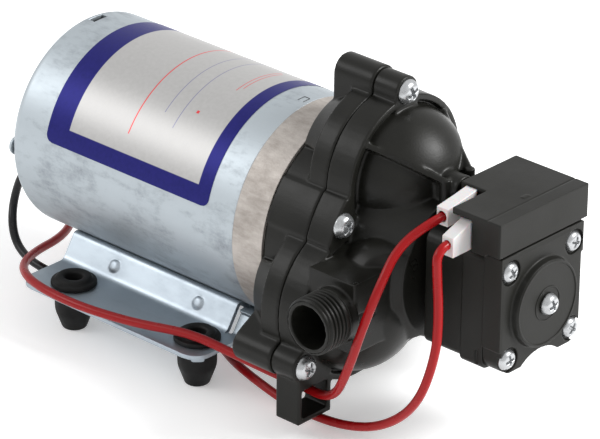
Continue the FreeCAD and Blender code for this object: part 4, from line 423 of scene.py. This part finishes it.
sheen = noise(foil_tree, object_point(foil_tree), 700.0, 2.0)
violet = blend(foil_tree, sheen, (0.009, 0.01, 0.1, 1), (0.017, 0.016, 0.16, 1))
silver = blend(foil_tree, sheen, (0.375, 0.37, 0.365, 1), (0.45, 0.445, 0.44, 1))
print_colour = blend(foil_tree, box_mask(*GROUND_X, FRAME_WIDTH, height - FRAME_WIDTH),
                     violet, silver)
per_degree = LABEL_RADIUS * math.pi / 180
RED_INK = (0.62, 0.05, 0.06, 1)
GREY_VIOLET_INK = (0.16, 0.16, 0.3, 1)
for x, from_angle, to_angle, width, ink in (
        (-13.4, 148, 62, 0.5, RED_INK), (-2.6, 131, 58, 0.28, GREY_VIOLET_INK),
        (4.2, 137, 58, 0.28, GREY_VIOLET_INK), (16.3, 104, 70, 0.3, RED_INK),
        (17.9, 101, 72, 0.3, RED_INK), (10.3, 125.3, 123.6, 1.2, RED_INK)):
    rule = box_mask(x - width / 2, x + width / 2, (LABEL_FROM - from_angle) * per_degree,
                    (LABEL_FROM - to_angle) * per_degree)
    print_colour = blend(foil_tree, rule, print_colour, ink)
link_in(foil_tree, foil_shader, {"Base Color": print_colour,
                                 "Roughness": remap(foil_tree, sheen, 0.0, 1.0, 0.34, 0.46)})

label_mesh = bpy.data.meshes.new("motor_label")
label_mesh.from_pydata((label_points.reshape(-1, 3) * MM).tolist(), [],
                       grid_faces(len(rows), len(share), closed=False)[:, ::-1].tolist())
label_uv = label_mesh.uv_layers.new(name="label")
corner_points = np.empty(len(label_mesh.loops), np.int32)
label_mesh.loops.foreach_get("vertex_index", corner_points)
flat = np.stack([label_x.ravel(), label_s.ravel()], 1)[corner_points]
label_uv.data.foreach_set("uv", flat.astype(np.float32).ravel())
label_mesh.materials.append(foil)
label_mesh.shade_smooth()
label = put("motor_label", label_mesh)
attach(label, "pump")

# End bell: die-cast alloy that closes the can and carries the front bearing. It is left as cast,
# with a sandy grain and tan stains drawn out along the motor.
cast, cast_tree, cast_shader = finish_of("die cast alloy", (0.42, 0.39, 0.35), 0.5, Metallic=0.55)
cast_point = object_point(cast_tree)
cast_cloud = noise(cast_tree, cast_point, 70.0, 7.0, Roughness=0.7)
cast_sand = noise(cast_tree, cast_point, 1400.0, 2.0)
cast_streak = noise(cast_tree, stretched(cast_tree, cast_point, 0.3), 420.0, 5.0, Roughness=0.65)
cast_stain = remap(cast_tree, weigh(cast_tree, 0.45, cast_cloud, cast_streak), 0.4, 0.62)
link_in(cast_tree, cast_shader, {
    "Base Color": blend(cast_tree, cast_stain, (0.46, 0.425, 0.395, 1), (0.3, 0.27, 0.245, 1)),
    "Roughness": remap(cast_tree, cast_cloud, 0.0, 1.0, 0.4, 0.62),
    "Normal": soft_edges(cast_tree, bump(cast_tree, cast_sand, 0.35, 0.0002), 0.0005)})
dress(cast, "end_bell")

# Cradle: pressed from one zinc plated sheet of 1.6 mm. Flat flanges carry the feet, walls rise to
# two ridges and the saddle under the can. Two dimples stiffen each wall, and the front end of
# each wall steps inwards.
sheet_zinc = zinc("cradle zinc", 25.0, 0.35, (0.38, 0.43, 0.475), (0.18, 0.21, 0.25), 0.0004,
                  0.32, 0.5)
SADDLE_RADIUS = 42.2
FLANGE_HEIGHT = 16.7
HALF_WIDTH = 58.3
REAR_EDGE, SHEET_LENGTH = -48.5, 91.2
OUTER_CORNER = 7
SHEET_THICKNESS = 1.6
RIDGE = 3.4
STEP_X, STEP_IN = 35.7, 2.6
WALL_INNER, WALL_OUTER = 23.5, 35.5
DIMPLE_X, DIMPLE_Y = (-24.3, 18.5), 31.4
DIMPLE_RADIUS, DIMPLE_HEIGHT = 2.1, 0.75
FOOT_X, FOOT_Y = 31.5, 46
FOOT_HOLE_RADIUS = 5
TAB_FROM, TAB_THICKNESS = 7.8, 1.2
saddle_end = math.radians(37)
saddle_y = SADDLE_RADIUS * math.sin(saddle_end)
saddle_z = AXIS - SADDLE_RADIUS * math.cos(saddle_end)
half_line = eased(
    [(-HALF_WIDTH, FLANGE_HEIGHT), (-34.5, FLANGE_HEIGHT),
     (-saddle_y - RIDGE * math.cos(saddle_end), saddle_z + RIDGE * math.sin(saddle_end)),
     (-saddle_y, saddle_z)], [2.2, 1.6], 7)
arc_angle = np.linspace(-saddle_end, saddle_end, 60)[1:-1]
arc_line = np.stack([SADDLE_RADIUS * np.sin(arc_angle),
                     AXIS - SADDLE_RADIUS * np.cos(arc_angle)], 1)
# The line across the cradle is evened out along its length and carried from rear to front.
section = np.concatenate([half_line, arc_line, half_line[::-1] * (-1, 1)])
run = np.concatenate([[0], np.cumsum(np.linalg.norm(np.diff(section, axis=0), axis=1))])
even = np.linspace(0, run[-1], 230)
section = np.stack([np.interp(even, run, section[:, k]) for k in (0, 1)], 1)
slope = np.gradient(section, axis=0)
slope /= np.linalg.norm(slope, axis=1)[:, None]
outward = np.stack([-slope[:, 1], slope[:, 0]], 1)
reach = np.clip(OUTER_CORNER - (HALF_WIDTH - np.abs(section[:, 0])), 0, OUTER_CORNER)
pull_in = np.where(reach > 0, OUTER_CORNER - np.sqrt(OUTER_CORNER ** 2 - reach ** 2), 0)
span = np.linspace(0, 1, 130)
plate_x = (REAR_EDGE + pull_in)[:, None] + span * (SHEET_LENGTH - 2 * pull_in)[:, None]
plate_y = np.broadcast_to(section[:, :1], plate_x.shape)
plate_z = np.broadcast_to(section[:, 1:], plate_x.shape)
# The sheet is lifted square to itself: outwards in the dimples, inwards past the step.
lift = np.zeros_like(plate_x)
for dimple_x in DIMPLE_X:
    for dimple_y in (-DIMPLE_Y, DIMPLE_Y):
        away = np.hypot(plate_x - dimple_x, (np.abs(plate_y) - abs(dimple_y)) * 1.9)
        away += 50 * (np.sign(plate_y) != np.sign(dimple_y))
        lift += DIMPLE_HEIGHT * np.clip(1.25 - (away / DIMPLE_RADIUS) ** 4, 0, 1)
on_wall = (np.clip((np.abs(plate_y) - WALL_INNER) / 1.5, 0, 1)
           * np.clip((WALL_OUTER - np.abs(plate_y)) / 1.2, 0, 1))
lift -= STEP_IN * np.clip((plate_x - STEP_X) / 0.7, 0, 1) * on_wall
plate_points = np.stack([plate_x, plate_y + lift * outward[:, :1],
                         plate_z + lift * outward[:, 1:]], -1)
plate_faces = grid_faces(len(section), len(span), closed=False)
middle = plate_points.reshape(-1, 3)[plate_faces].mean(1)
middle_y = np.abs(middle[:, 1])
in_slit = ((middle[:, 0] > STEP_X) & (middle[:, 0] < STEP_X + 0.6)
           & (middle_y > WALL_INNER) & (middle_y < WALL_OUTER + 0.5))
in_hole = np.hypot(np.abs(middle[:, 0]) - FOOT_X, middle_y - FOOT_Y) < FOOT_HOLE_RADIUS
cradle = add_mesh("cradle_sheet", plate_points.reshape(-1, 3),
                  plate_faces[~(in_slit | in_hole)].tolist(), "pump", sheet_zinc)
wall = cradle.modifiers.new("thickness", "SOLIDIFY")
wall.thickness = SHEET_THICKNESS * MM
wall.offset = 0
brim = cradle.modifiers.new("edges", "EDGE_SPLIT")
brim.split_angle = math.radians(50)
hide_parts("base_plate")
tab_verts = []
tab_faces = []
for x0 in (-FOOT_X, FOOT_X):
    for y0 in (-FOOT_Y, FOOT_Y):
        for quarter in np.radians((45, 135, 225, 315)):
            out = np.array([math.cos(quarter), math.sin(quarter), 0])
            side = np.array([-out[1], out[0], 0])
            corners = eased([(-2.5, 16.6), (-2.5, 12.6), (2.5, 12.6), (2.5, 16.6)], 1.2, 4)
            tab_face = corners[:, :1] * side + corners[:, 1:] * np.array([0, 0, 1])
            front = np.array([x0, y0, 0]) + out * TAB_FROM + tab_face
            n = len(front)
            base = len(tab_verts)
            tab_verts += np.concatenate([front, front + out * TAB_THICKNESS]).tolist()
            tab_faces += [[base + k for k in range(n)][::-1], [base + n + k for k in range(n)]]
            tab_faces += [[base + k, base + (k + 1) % n, base + n + (k + 1) % n, base + n + k]
                          for k in range(n)]
add_mesh("cradle_tabs", tab_verts, tab_faces, "pump", sheet_zinc, smooth=False)

# Feet: black rubber, pushed through the flanges so that these sit in a groove. A ringed cap with
# the screw recess lies on top, a tapering cone stands below.
soft_black, soft_tree, soft_shader = finish_of("foot rubber", (0.007, 0.007, 0.007), 0.6,
                                               Specular_IOR_Level=0.2)
smudged(soft_tree, soft_shader, 220.0, 0.45, 0.75)
foot_profile = eased([
    (0.0, 2.4), (0.0, 4.5), (7.4, 7.2), (15.9, 7.3), (15.9, 5.05), (17.55, 5.05), (17.55, 8.6),
    (19.3, 8.6), (19.5, 7.0), (20.9, 6.4), (20.9, 4.2), (20.2, 3.3), (16.9, 3.3), (16.9, 2.4),
    (0.0, 2.4)], [0.8, 1.6, 0.4, 0.3, 0.3, 0.5, 1.2, 0.7, 0.9, 0.9, 0.5, 0.4, 0.3], 6)
for foot_name, x0, y0 in (("foot_rear_near", -FOOT_X, -FOOT_Y), ("foot_rear_far", -FOOT_X, FOOT_Y),
                          ("foot_front_near", FOOT_X, -FOOT_Y), ("foot_front_far", FOOT_X, FOOT_Y)):
    points, faces = turned(foot_profile, "Z", (x0, y0, 0), 72)
    foot = add_mesh(foot_name + "_rubber", points, faces[:, ::-1].tolist(), "pump", soft_black)
    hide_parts(foot_name)

# Black mouldings: glass-filled plastic with a satin face, thin parting lines and edges of about
# half a millimetre. Each is the CAD solid with its edges rounded.
moulding, moulding_in, moulding_out = effect(
    "Moulded face", {"Scale": 55.0, "Low": 0.3, "High": 0.5, "Grain": 0.25},
    {"Color": "Color", "Roughness": "Float", "Normal": "Vector"})
face_point = object_point(moulding)
flow = noise(moulding, face_point, moulding_in.outputs["Scale"], 6.0, Roughness=0.6)
pores = noise(moulding, face_point, 1500.0, 2.0)
link_in(moulding, moulding_out, {
    "Color": blend(moulding, flow, (0.005, 0.005, 0.0041, 1), (0.0125, 0.0124, 0.0105, 1)),
    "Roughness": remap(moulding, flow, 0.35, 0.65, moulding_in.outputs["Low"],
                       moulding_in.outputs["High"]),
    "Normal": bump(moulding, pores, moulding_in.outputs["Grain"], 0.0001)})


def black_plastic(name, low, high, grain, scale=55.0):
    material, tree, shader = finish_of(name, (0.009, 0.0092, 0.009), 0.4, Specular_IOR_Level=0.18)
    group = add_effect(tree, moulding, Scale=scale, Low=low, High=high, Grain=grain)
    link_in(tree, shader, {"Base Color": group.outputs["Color"],
                           "Roughness": group.outputs["Roughness"],
                           "Normal": group.outputs["Normal"]})
    return material


def boxes(work, limits):
    """Adds closed boxes, given in millimetres as low and high X, Y and Z, to a mesh in work."""
    for low_x, high_x, low_y, high_y, low_z, high_z in limits:
        centre = Vector((low_x + high_x, low_y + high_y, low_z + high_z)) * MM / 2
        size = Matrix.Diagonal(((high_x - low_x) * MM, (high_y - low_y) * MM,
                                (high_z - low_z) * MM, 1))
        bmesh.ops.create_cube(work, size=1.0, matrix=Matrix.Translation(centre) @ size)


def rods(work, limits):
    """Cylinders along X, each given by its two ends, its centre and its radius."""
    along_x = Matrix.Rotation(math.pi / 2, 4, "Y")
    for low_x, high_x, y, z, radius in limits:
        centre = Vector((low_x + high_x, 2 * y, 2 * z)) * MM / 2
        bmesh.ops.create_cone(work, cap_ends=True, segments=48, radius1=radius * MM,
                              radius2=radius * MM, depth=(high_x - low_x) * MM,
                              matrix=Matrix.Translation(centre) @ along_x)


def settle(piece):
    """Turns a piece's modifiers into its mesh."""
    evaluated = piece.evaluated_get(bpy.context.evaluated_depsgraph_get())
    result = bpy.data.meshes.new_from_object(evaluated)
    piece.modifiers.clear()
    piece.data = result
    return result


def moulded(node, voxel, passes, material, body="pump", most=150000, raised=(), sunk=(),
            studs=(), bored=(), shaped=None):
    """The node's solid as one even skin: remeshed, relaxed so that its edges round off, thinned.

    Before that its points may be reshaped, boxes and studs added, and boxes and bores cut out.
    """
    mesh = nodes[node].data.copy()
    if shaped:
        points = np.empty(len(mesh.vertices) * 3)
        mesh.vertices.foreach_get("co", points)
        mesh.vertices.foreach_set("co", (shaped(points.reshape(-1, 3) / MM) * MM).ravel())
    piece = put(node + "_moulding", mesh)
    work = bmesh.new()
    work.from_mesh(mesh)
    bmesh.ops.remove_doubles(work, verts=work.verts, dist=1e-6)
    boxes(work, raised)
    rods(work, studs)
    work.to_mesh(mesh)
    work.free()
    if sunk or bored:
        grooves = bpy.data.meshes.new(node + "_grooves")
        work = bmesh.new()
        boxes(work, sunk)
        rods(work, bored)
        work.to_mesh(grooves)
        work.free()
        cutter = put(node + "_grooves", grooves)
        groove = piece.modifiers.new("grooves", "BOOLEAN")
        groove.operation = "DIFFERENCE"
        groove.object = cutter
        groove.use_self = True
    skin = piece.modifiers.new("skin", "REMESH")
    skin.mode = "VOXEL"
    skin.voxel_size = voxel * MM
    relax = piece.modifiers.new("relax", "SMOOTH")
    relax.factor = 0.5
    relax.iterations = passes
    result = settle(piece)
    if sunk or bored:
        bpy.data.objects.remove(cutter)
    count = len(result.polygons) * 2
    if count > most:
        thin = piece.modifiers.new("thin", "DECIMATE")
        thin.ratio = most / count
        result = settle(piece)
    result.materials.clear()
    result.materials.append(material)
    result.shade_smooth()
    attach(piece, body)
    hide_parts(node)


housing_black = black_plastic("housing plastic", 0.27, 0.4, 0.3)
moulded("lower_housing", 0.6, 4, housing_black)
moulded("upper_housing", 0.5, 4, housing_black, most=190000,
        raised=[(107, 113.5, -6.4, 6.4, 82, 91.5)], studs=[(105, 117.4, -1.2, 90, 4.9)])

# Port threads: half-inch parallel threads moulded on both spigots, with a crest every 1.8 mm.
# They run out before the block. The radius is a wave along the spigot, which moves on by one
# pitch in each turn.
PITCH = 1.814
ROOT_RADIUS, CREST_HEIGHT = 9.64, 0.84
THREAD_FROM, THREAD_TO = 51.0, 63.35
PORT_X, PORT_Z = 101.1, 53.5
THREAD_AROUND, THREAD_ALONG = 144, 150
for port_name, side in (("near", -1), ("far", 1)):
    angle = np.linspace(0, 2 * np.pi, THREAD_AROUND, endpoint=False)[:, None]
    out = np.linspace(THREAD_FROM, THREAD_TO, THREAD_ALONG)[None, :]
    phase = (out - side * angle * PITCH / (2 * np.pi)) / PITCH
    wave = np.clip(0.5 + 0.8 * np.cos(2 * np.pi * phase), 0, 1)
    fade = np.clip((out - 51.4) / 1.2, 0, 1) * np.clip((THREAD_TO - out) / 0.9, 0, 1)
    radius = ROOT_RADIUS + CREST_HEIGHT * wave * fade
    thread = np.stack([PORT_X + radius * np.cos(angle), side * np.broadcast_to(out, radius.shape),
                       PORT_Z + radius * np.sin(angle)], -1)
    faces = grid_faces(THREAD_AROUND, THREAD_ALONG)
    add_mesh(port_name + "_port_thread", thread.reshape(-1, 3),
             (faces if side > 0 else faces[:, ::-1]).tolist(), "pump", housing_black)

# Screws: zinc plated pan heads with a cross recess. Three hold the corners of the pump head, one
# its near side and four the pressure switch. The one in the middle of the cap sets the pressure.
screw_zinc = zinc("screw zinc", 300.0, 0.6, (0.42, 0.43, 0.44), (0.1, 0.1, 0.1), 0.0001,
                  0.2, 0.34)


def recess(u, v, arm, half, depth):
    """How deep the cross recess is: full inside either arm, with steep sides, deepest inside."""
    reach_u = np.clip((arm - np.abs(u)) / 0.35, 0, 1) * np.clip((half - np.abs(v)) / 0.22, 0, 1)
    reach_v = np.clip((arm - np.abs(v)) / 0.35, 0, 1) * np.clip((half - np.abs(u)) / 0.22, 0, 1)
    inside = np.maximum(reach_u, reach_v)
    return depth * inside * (1 - 0.45 * np.clip(np.hypot(u, v) / arm, 0, 1))


def pan_heads(name, screws, node, body="pump"):
    """Screws along -X: shank, flat underside, domed head, and the recess pressed into it.

    Each is given by the place of its underside, head radius and height, shank radius and length,
    and the turn of its cross.
    """
    verts = np.zeros((0, 3))
    faces = []
    for x, y, z, head, tall, shank, length, twist in screws:
        r = np.linspace(1, 0, 34)
        dome = tall * (1 - 0.3 * r ** 2 - 0.7 * r ** 7)
        below = eased([(-length, 0), (-length, shank), (0, shank), (0, head * 0.97)], 0.2, 3)
        profile = np.concatenate([below, np.stack([dome, head * r], 1)])
        points, quads = turned(profile, "X", (0, 0, 0), 96)
        u = points[:, 1] * math.cos(twist) + points[:, 2] * math.sin(twist)
        v = points[:, 2] * math.cos(twist) - points[:, 1] * math.sin(twist)
        dip = recess(u, v, head * 0.55, head * 0.15, tall * 0.85)
        points[:, 0] = np.where(points[:, 0] > tall * 0.3, points[:, 0] - dip, points[:, 0])
        faces += (quads + len(verts)).tolist()
        verts = np.concatenate([verts, points + (x, y, z)])
    piece = add_mesh(name, verts, faces, body, screw_zinc)
    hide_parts(node)


def around_axis(radius, degrees):
    angle = math.radians(degrees)
    return radius * math.cos(angle), AXIS + radius * math.sin(angle)


RIM_X, SWITCH_SCREW_X, SWITCH_SCREW_OUT = 88.7, 150.8, 16.8
pan_heads("housing_screw_heads", [
    (RIM_X, *around_axis(radius, degrees), 4.75, 3.1, 1.9, 24, twist)
    for radius, degrees, twist in ((59.3, 90, 0.4), (59.3, 210, 1.1), (59.3, 330, 0.2),
                                   (37.6, 150, 0.75))], "housing_screws")
pan_heads("switch_screw_heads", [
    (SWITCH_SCREW_X, y * SWITCH_SCREW_OUT, AXIS + z * SWITCH_SCREW_OUT, 3.95, 2.5, 1.6, 20, twist)
    for y, z, twist in ((-1, 1, 0.5), (1, 1, 1.2), (-1, -1, 0.15), (1, -1, 0.9))],
    "switch_screws")
pan_heads("adjusting_screw_head", [(155.1, 0, AXIS, 4.1, 3.0, 1.95, 9.4, 0.3)],
          "adjusting_screw", body="adjuster")

# Pressure switch: three stacked black mouldings and a cover over the micro switch. The front one
# has a round cap with two raised rings round the adjusting screw.
switch_black = black_plastic("switch plastic", 0.34, 0.5, 0.22, 40.0)
moulded("switch_body", 0.3, 2, switch_black, sunk=[
    (140.4, 141.9, -22, -20.4, 38.0, 43.5), (133.1, 133.5, -21.6, -20.0, 37, 78)])
moulded("switch_front", 0.3, 2, switch_black,
        raised=[(143.9, 152.1, -21.9, -14, 46, 81.8), (143.9, 152.1, 14, 21.9, 70, 81.8),
                (144.0, 152.05, -16, 16, 79, 81.8)],
        bored=[(150.7, 153.5, y, z, 4.7) for y in (-SWITCH_SCREW_OUT, SWITCH_SCREW_OUT)
               for z in (AXIS - SWITCH_SCREW_OUT, AXIS + SWITCH_SCREW_OUT)])
moulded("terminal_cover", 0.3, 4, switch_black,
        raised=[(142.6, 144.0, -1.6, 1.6, 95.4, 95.75), (139.4, 146.2, -23.6, -22, 81.6, 93)],
        sunk=[(145.9, 146.3, -24, 24, 95.05, 96), (127, 145.5, -22.3, -21.9, 95.1, 96),
              (130.7, 139.4, -24.6, -20.7, 90.5, 93.1)])
CAP_FACE = 154.8
for ring_name, ring_radius, half, rise in (("cap_outer_ring", 15.4, 0.55, 0.3),
                                           ("cap_inner_ring", 6.3, 0.3, 0.25)):
    profile = eased([(CAP_FACE - 0.3, ring_radius - half),
                     (CAP_FACE + rise, ring_radius - half * 0.7),
                     (CAP_FACE + rise, ring_radius + half * 0.7),
                     (CAP_FACE - 0.3, ring_radius + half)], 0.2, 4)
    points, faces = turned(profile[::-1], "X", (0, 0, AXIS), 128)
    add_mesh(ring_name, points, faces[:, ::-1].tolist(), "pump", switch_black)

# Terminal sleeves: milky nylon, moulded as straight wedges and pushed over the flat terminals.
# Each lead enters the narrow outer end.
nylon, nylon_tree, nylon_shader = finish_of("milky nylon", (0.6, 0.58, 0.58), 0.35,
                                            Subsurface_Weight=0.3, Subsurface_Scale=0.002)
smudged(nylon_tree, nylon_shader, 160.0, 0.25, 0.45)
SLEEVE_LENGTH, SLEEVE_TALL, SLEEVE_TAPER = 14, 4.5, 1.6  # the CAD sleeve: length, half heights
TAPER_FROM = 0.45


def sloped(inner_y, centre_x, centre_z, shorter, low, low_rise, high_inner, high_outer):
    """Turns a CAD sleeve into a straight wedge.

    Each point keeps its share of the height, now between straight lower and upper lines.
    """
    def shape(points):
        along = np.clip((inner_y - points[:, 1]) / SLEEVE_LENGTH, 0, 1)
        tapered = np.clip((along - TAPER_FROM) / (1 - TAPER_FROM), 0, 1)
        half = SLEEVE_TALL - SLEEVE_TAPER * tapered
        share = (points[:, 2] - centre_z + half) / (2 * half)
        low_line = low + low_rise * along
        high_line = high_inner + (high_outer - high_inner) * along
        return np.stack([centre_x + (points[:, 0] - centre_x) * 1.09,
                         points[:, 1] + shorter * np.clip((along - 0.6) / 0.4, 0, 1),
                         low_line + share * (high_line - low_line)], 1)
    return shape


moulded("upper_sleeve", 0.2, 2, nylon,
        shaped=sloped(-5.8, 124.2, 89, -1.5, 85, 0.6, 94.6, 92.2))
moulded("lower_sleeve", 0.2, 2, nylon,
        shaped=sloped(-19, 136.2, 85.4, 0.9, 81.8, 0, 93.3, 89))

# Inside the motor and the pump head: turned steel, wound copper, ferrite, nylon and rubber. These
# pieces keep the CAD solid and take a plain finish, since the casings hide them.
steel = zinc("ground steel", 400.0, 0.1, (0.55, 0.55, 0.54), (0.35, 0.34, 0.33), 0.0002)
dress(steel, "motor_shaft", "rear_bearing", "front_bearing", "cam_bearing", "drive_cam",
      "check_valve_spring", "pressure_spring")


def plain(name, light, dark, roughness, scale, **sockets):
    """A finish with slow changes of tone."""
    material, tree, shader = finish_of(name, light, roughness, **sockets)
    clouds = noise(tree, object_point(tree), scale, 5.0)
    link_in(tree, shader, {
        "Base Color": blend(tree, clouds, (*light, 1), (*dark, 1)),
        "Normal": soft_edges(tree, bump(tree, clouds, 0.2, 0.0001), 0.0003)})
    return material


dress(plain("laminations", (0.16, 0.15, 0.14), (0.09, 0.085, 0.08), 0.5, 500.0, Metallic=0.6),
      "armature_core")
dress(plain("enamelled copper", (0.50, 0.17, 0.06), (0.30, 0.09, 0.03), 0.35, 800.0,
            Metallic=0.7), "armature_windings")
dress(plain("bare copper", (0.72, 0.36, 0.2), (0.5, 0.22, 0.12), 0.3, 300.0, Metallic=0.9),
      "commutator")
dress(plain("ferrite", (0.06, 0.06, 0.062), (0.03, 0.03, 0.032), 0.7, 200.0), "field_magnets")
dress(plain("fibre board", (0.28, 0.17, 0.09), (0.2, 0.11, 0.06), 0.7, 300.0), "brush_card")
dress(plain("carbon", (0.05, 0.05, 0.05), (0.03, 0.03, 0.03), 0.55, 500.0), "carbon_brushes")
dress(soft_black, "lead_grommet")
dress(plain("white moulding", (0.68, 0.68, 0.66), (0.6, 0.6, 0.58), 0.45, 120.0),
      "wobble_plate", "piston_top", "piston_near", "piston_far", "valve_plate", "check_valve",
      "pressure_plunger", "switch_button")
dress(plain("seal rubber", (0.03, 0.03, 0.033), (0.02, 0.02, 0.021), 0.6, 200.0), "diaphragm",
      "inlet_valves", "outlet_valve", "switch_diaphragm")
dress(switch_black, "check_valve_guide", "micro_switch")
dress(plain("tinned brass", (0.66, 0.6, 0.45), (0.5, 0.44, 0.3), 0.3, 300.0, Metallic=0.9),
      "upper_terminal", "lower_terminal")

# Floor and light: a plain pale floor, a lamp behind on the right whose light lies on the domes and
# the cap, a large weak one over the near left, and a white surround.
FLOOR_HALF = 6
floor_mesh = bpy.data.meshes.new("floor")
floor_mesh.from_pydata([(-FLOOR_HALF, -FLOOR_HALF, 0), (FLOOR_HALF, -FLOOR_HALF, 0),
                        (FLOOR_HALF, FLOOR_HALF, 0), (-FLOOR_HALF, FLOOR_HALF, 0)],
                       [], [(0, 1, 2, 3)])
floor = put("floor", floor_mesh)
paper, _, _ = finish_of("floor paper", (0.96, 0.96, 0.96), 0.9, Emission_Color=(1, 1, 1, 1),
                        Emission_Strength=0.3)
floor_mesh.materials.append(paper)

world = bpy.data.worlds.new("studio")
world.use_nodes = True
sky = world.node_tree
seen = sky.nodes["Background"]
seen.inputs["Strength"].default_value = 1.0
seen.inputs["Color"].default_value = (1, 1, 1, 1)
lit = shader_node(sky, "ShaderNodeBackground", {"Color": (1, 1, 1, 1), "Strength": 0.6})
rays = shader_node(sky, "ShaderNodeLightPath").outputs
seen_or_clear = shader_node(sky, "ShaderNodeMath", {
    0: rays["Is Camera Ray"], 1: rays["Is Transmission Ray"]}, operation="MAXIMUM").outputs[0]
or_mirrored = shader_node(sky, "ShaderNodeMath", {
    0: seen_or_clear, 1: rays["Is Glossy Ray"]}, operation="MAXIMUM").outputs[0]
choice = shader_node(sky, "ShaderNodeMixShader", {
    0: or_mirrored, 1: lit.outputs[0], 2: seen.outputs[0]})
link_in(sky, sky.nodes["World Output"], {"Surface": choice.outputs[0]})
bpy.context.scene.world = world


def lamp(name, where, towards, size, watts):
    light = bpy.data.lights.new(name, "AREA")
    light.shape = "RECTANGLE"
    light.size, light.size_y = size
    light.energy = watts
    item = put(name, light)
    item.location = where
    aim = Vector(towards) - Vector(where)
    item.rotation_euler = aim.to_track_quat("-Z", "Y").to_euler()


lamp("key", (1.08, 0.67, 1.04), (0.05, 0, 0.05), (0.65, 0.65), 32)
lamp("fill", (-0.95, -0.9, 0.9), (0.05, 0, 0.05), (0.9, 0.6), 6.5)
bpy.context.scene.view_settings.view_transform = "Standard"
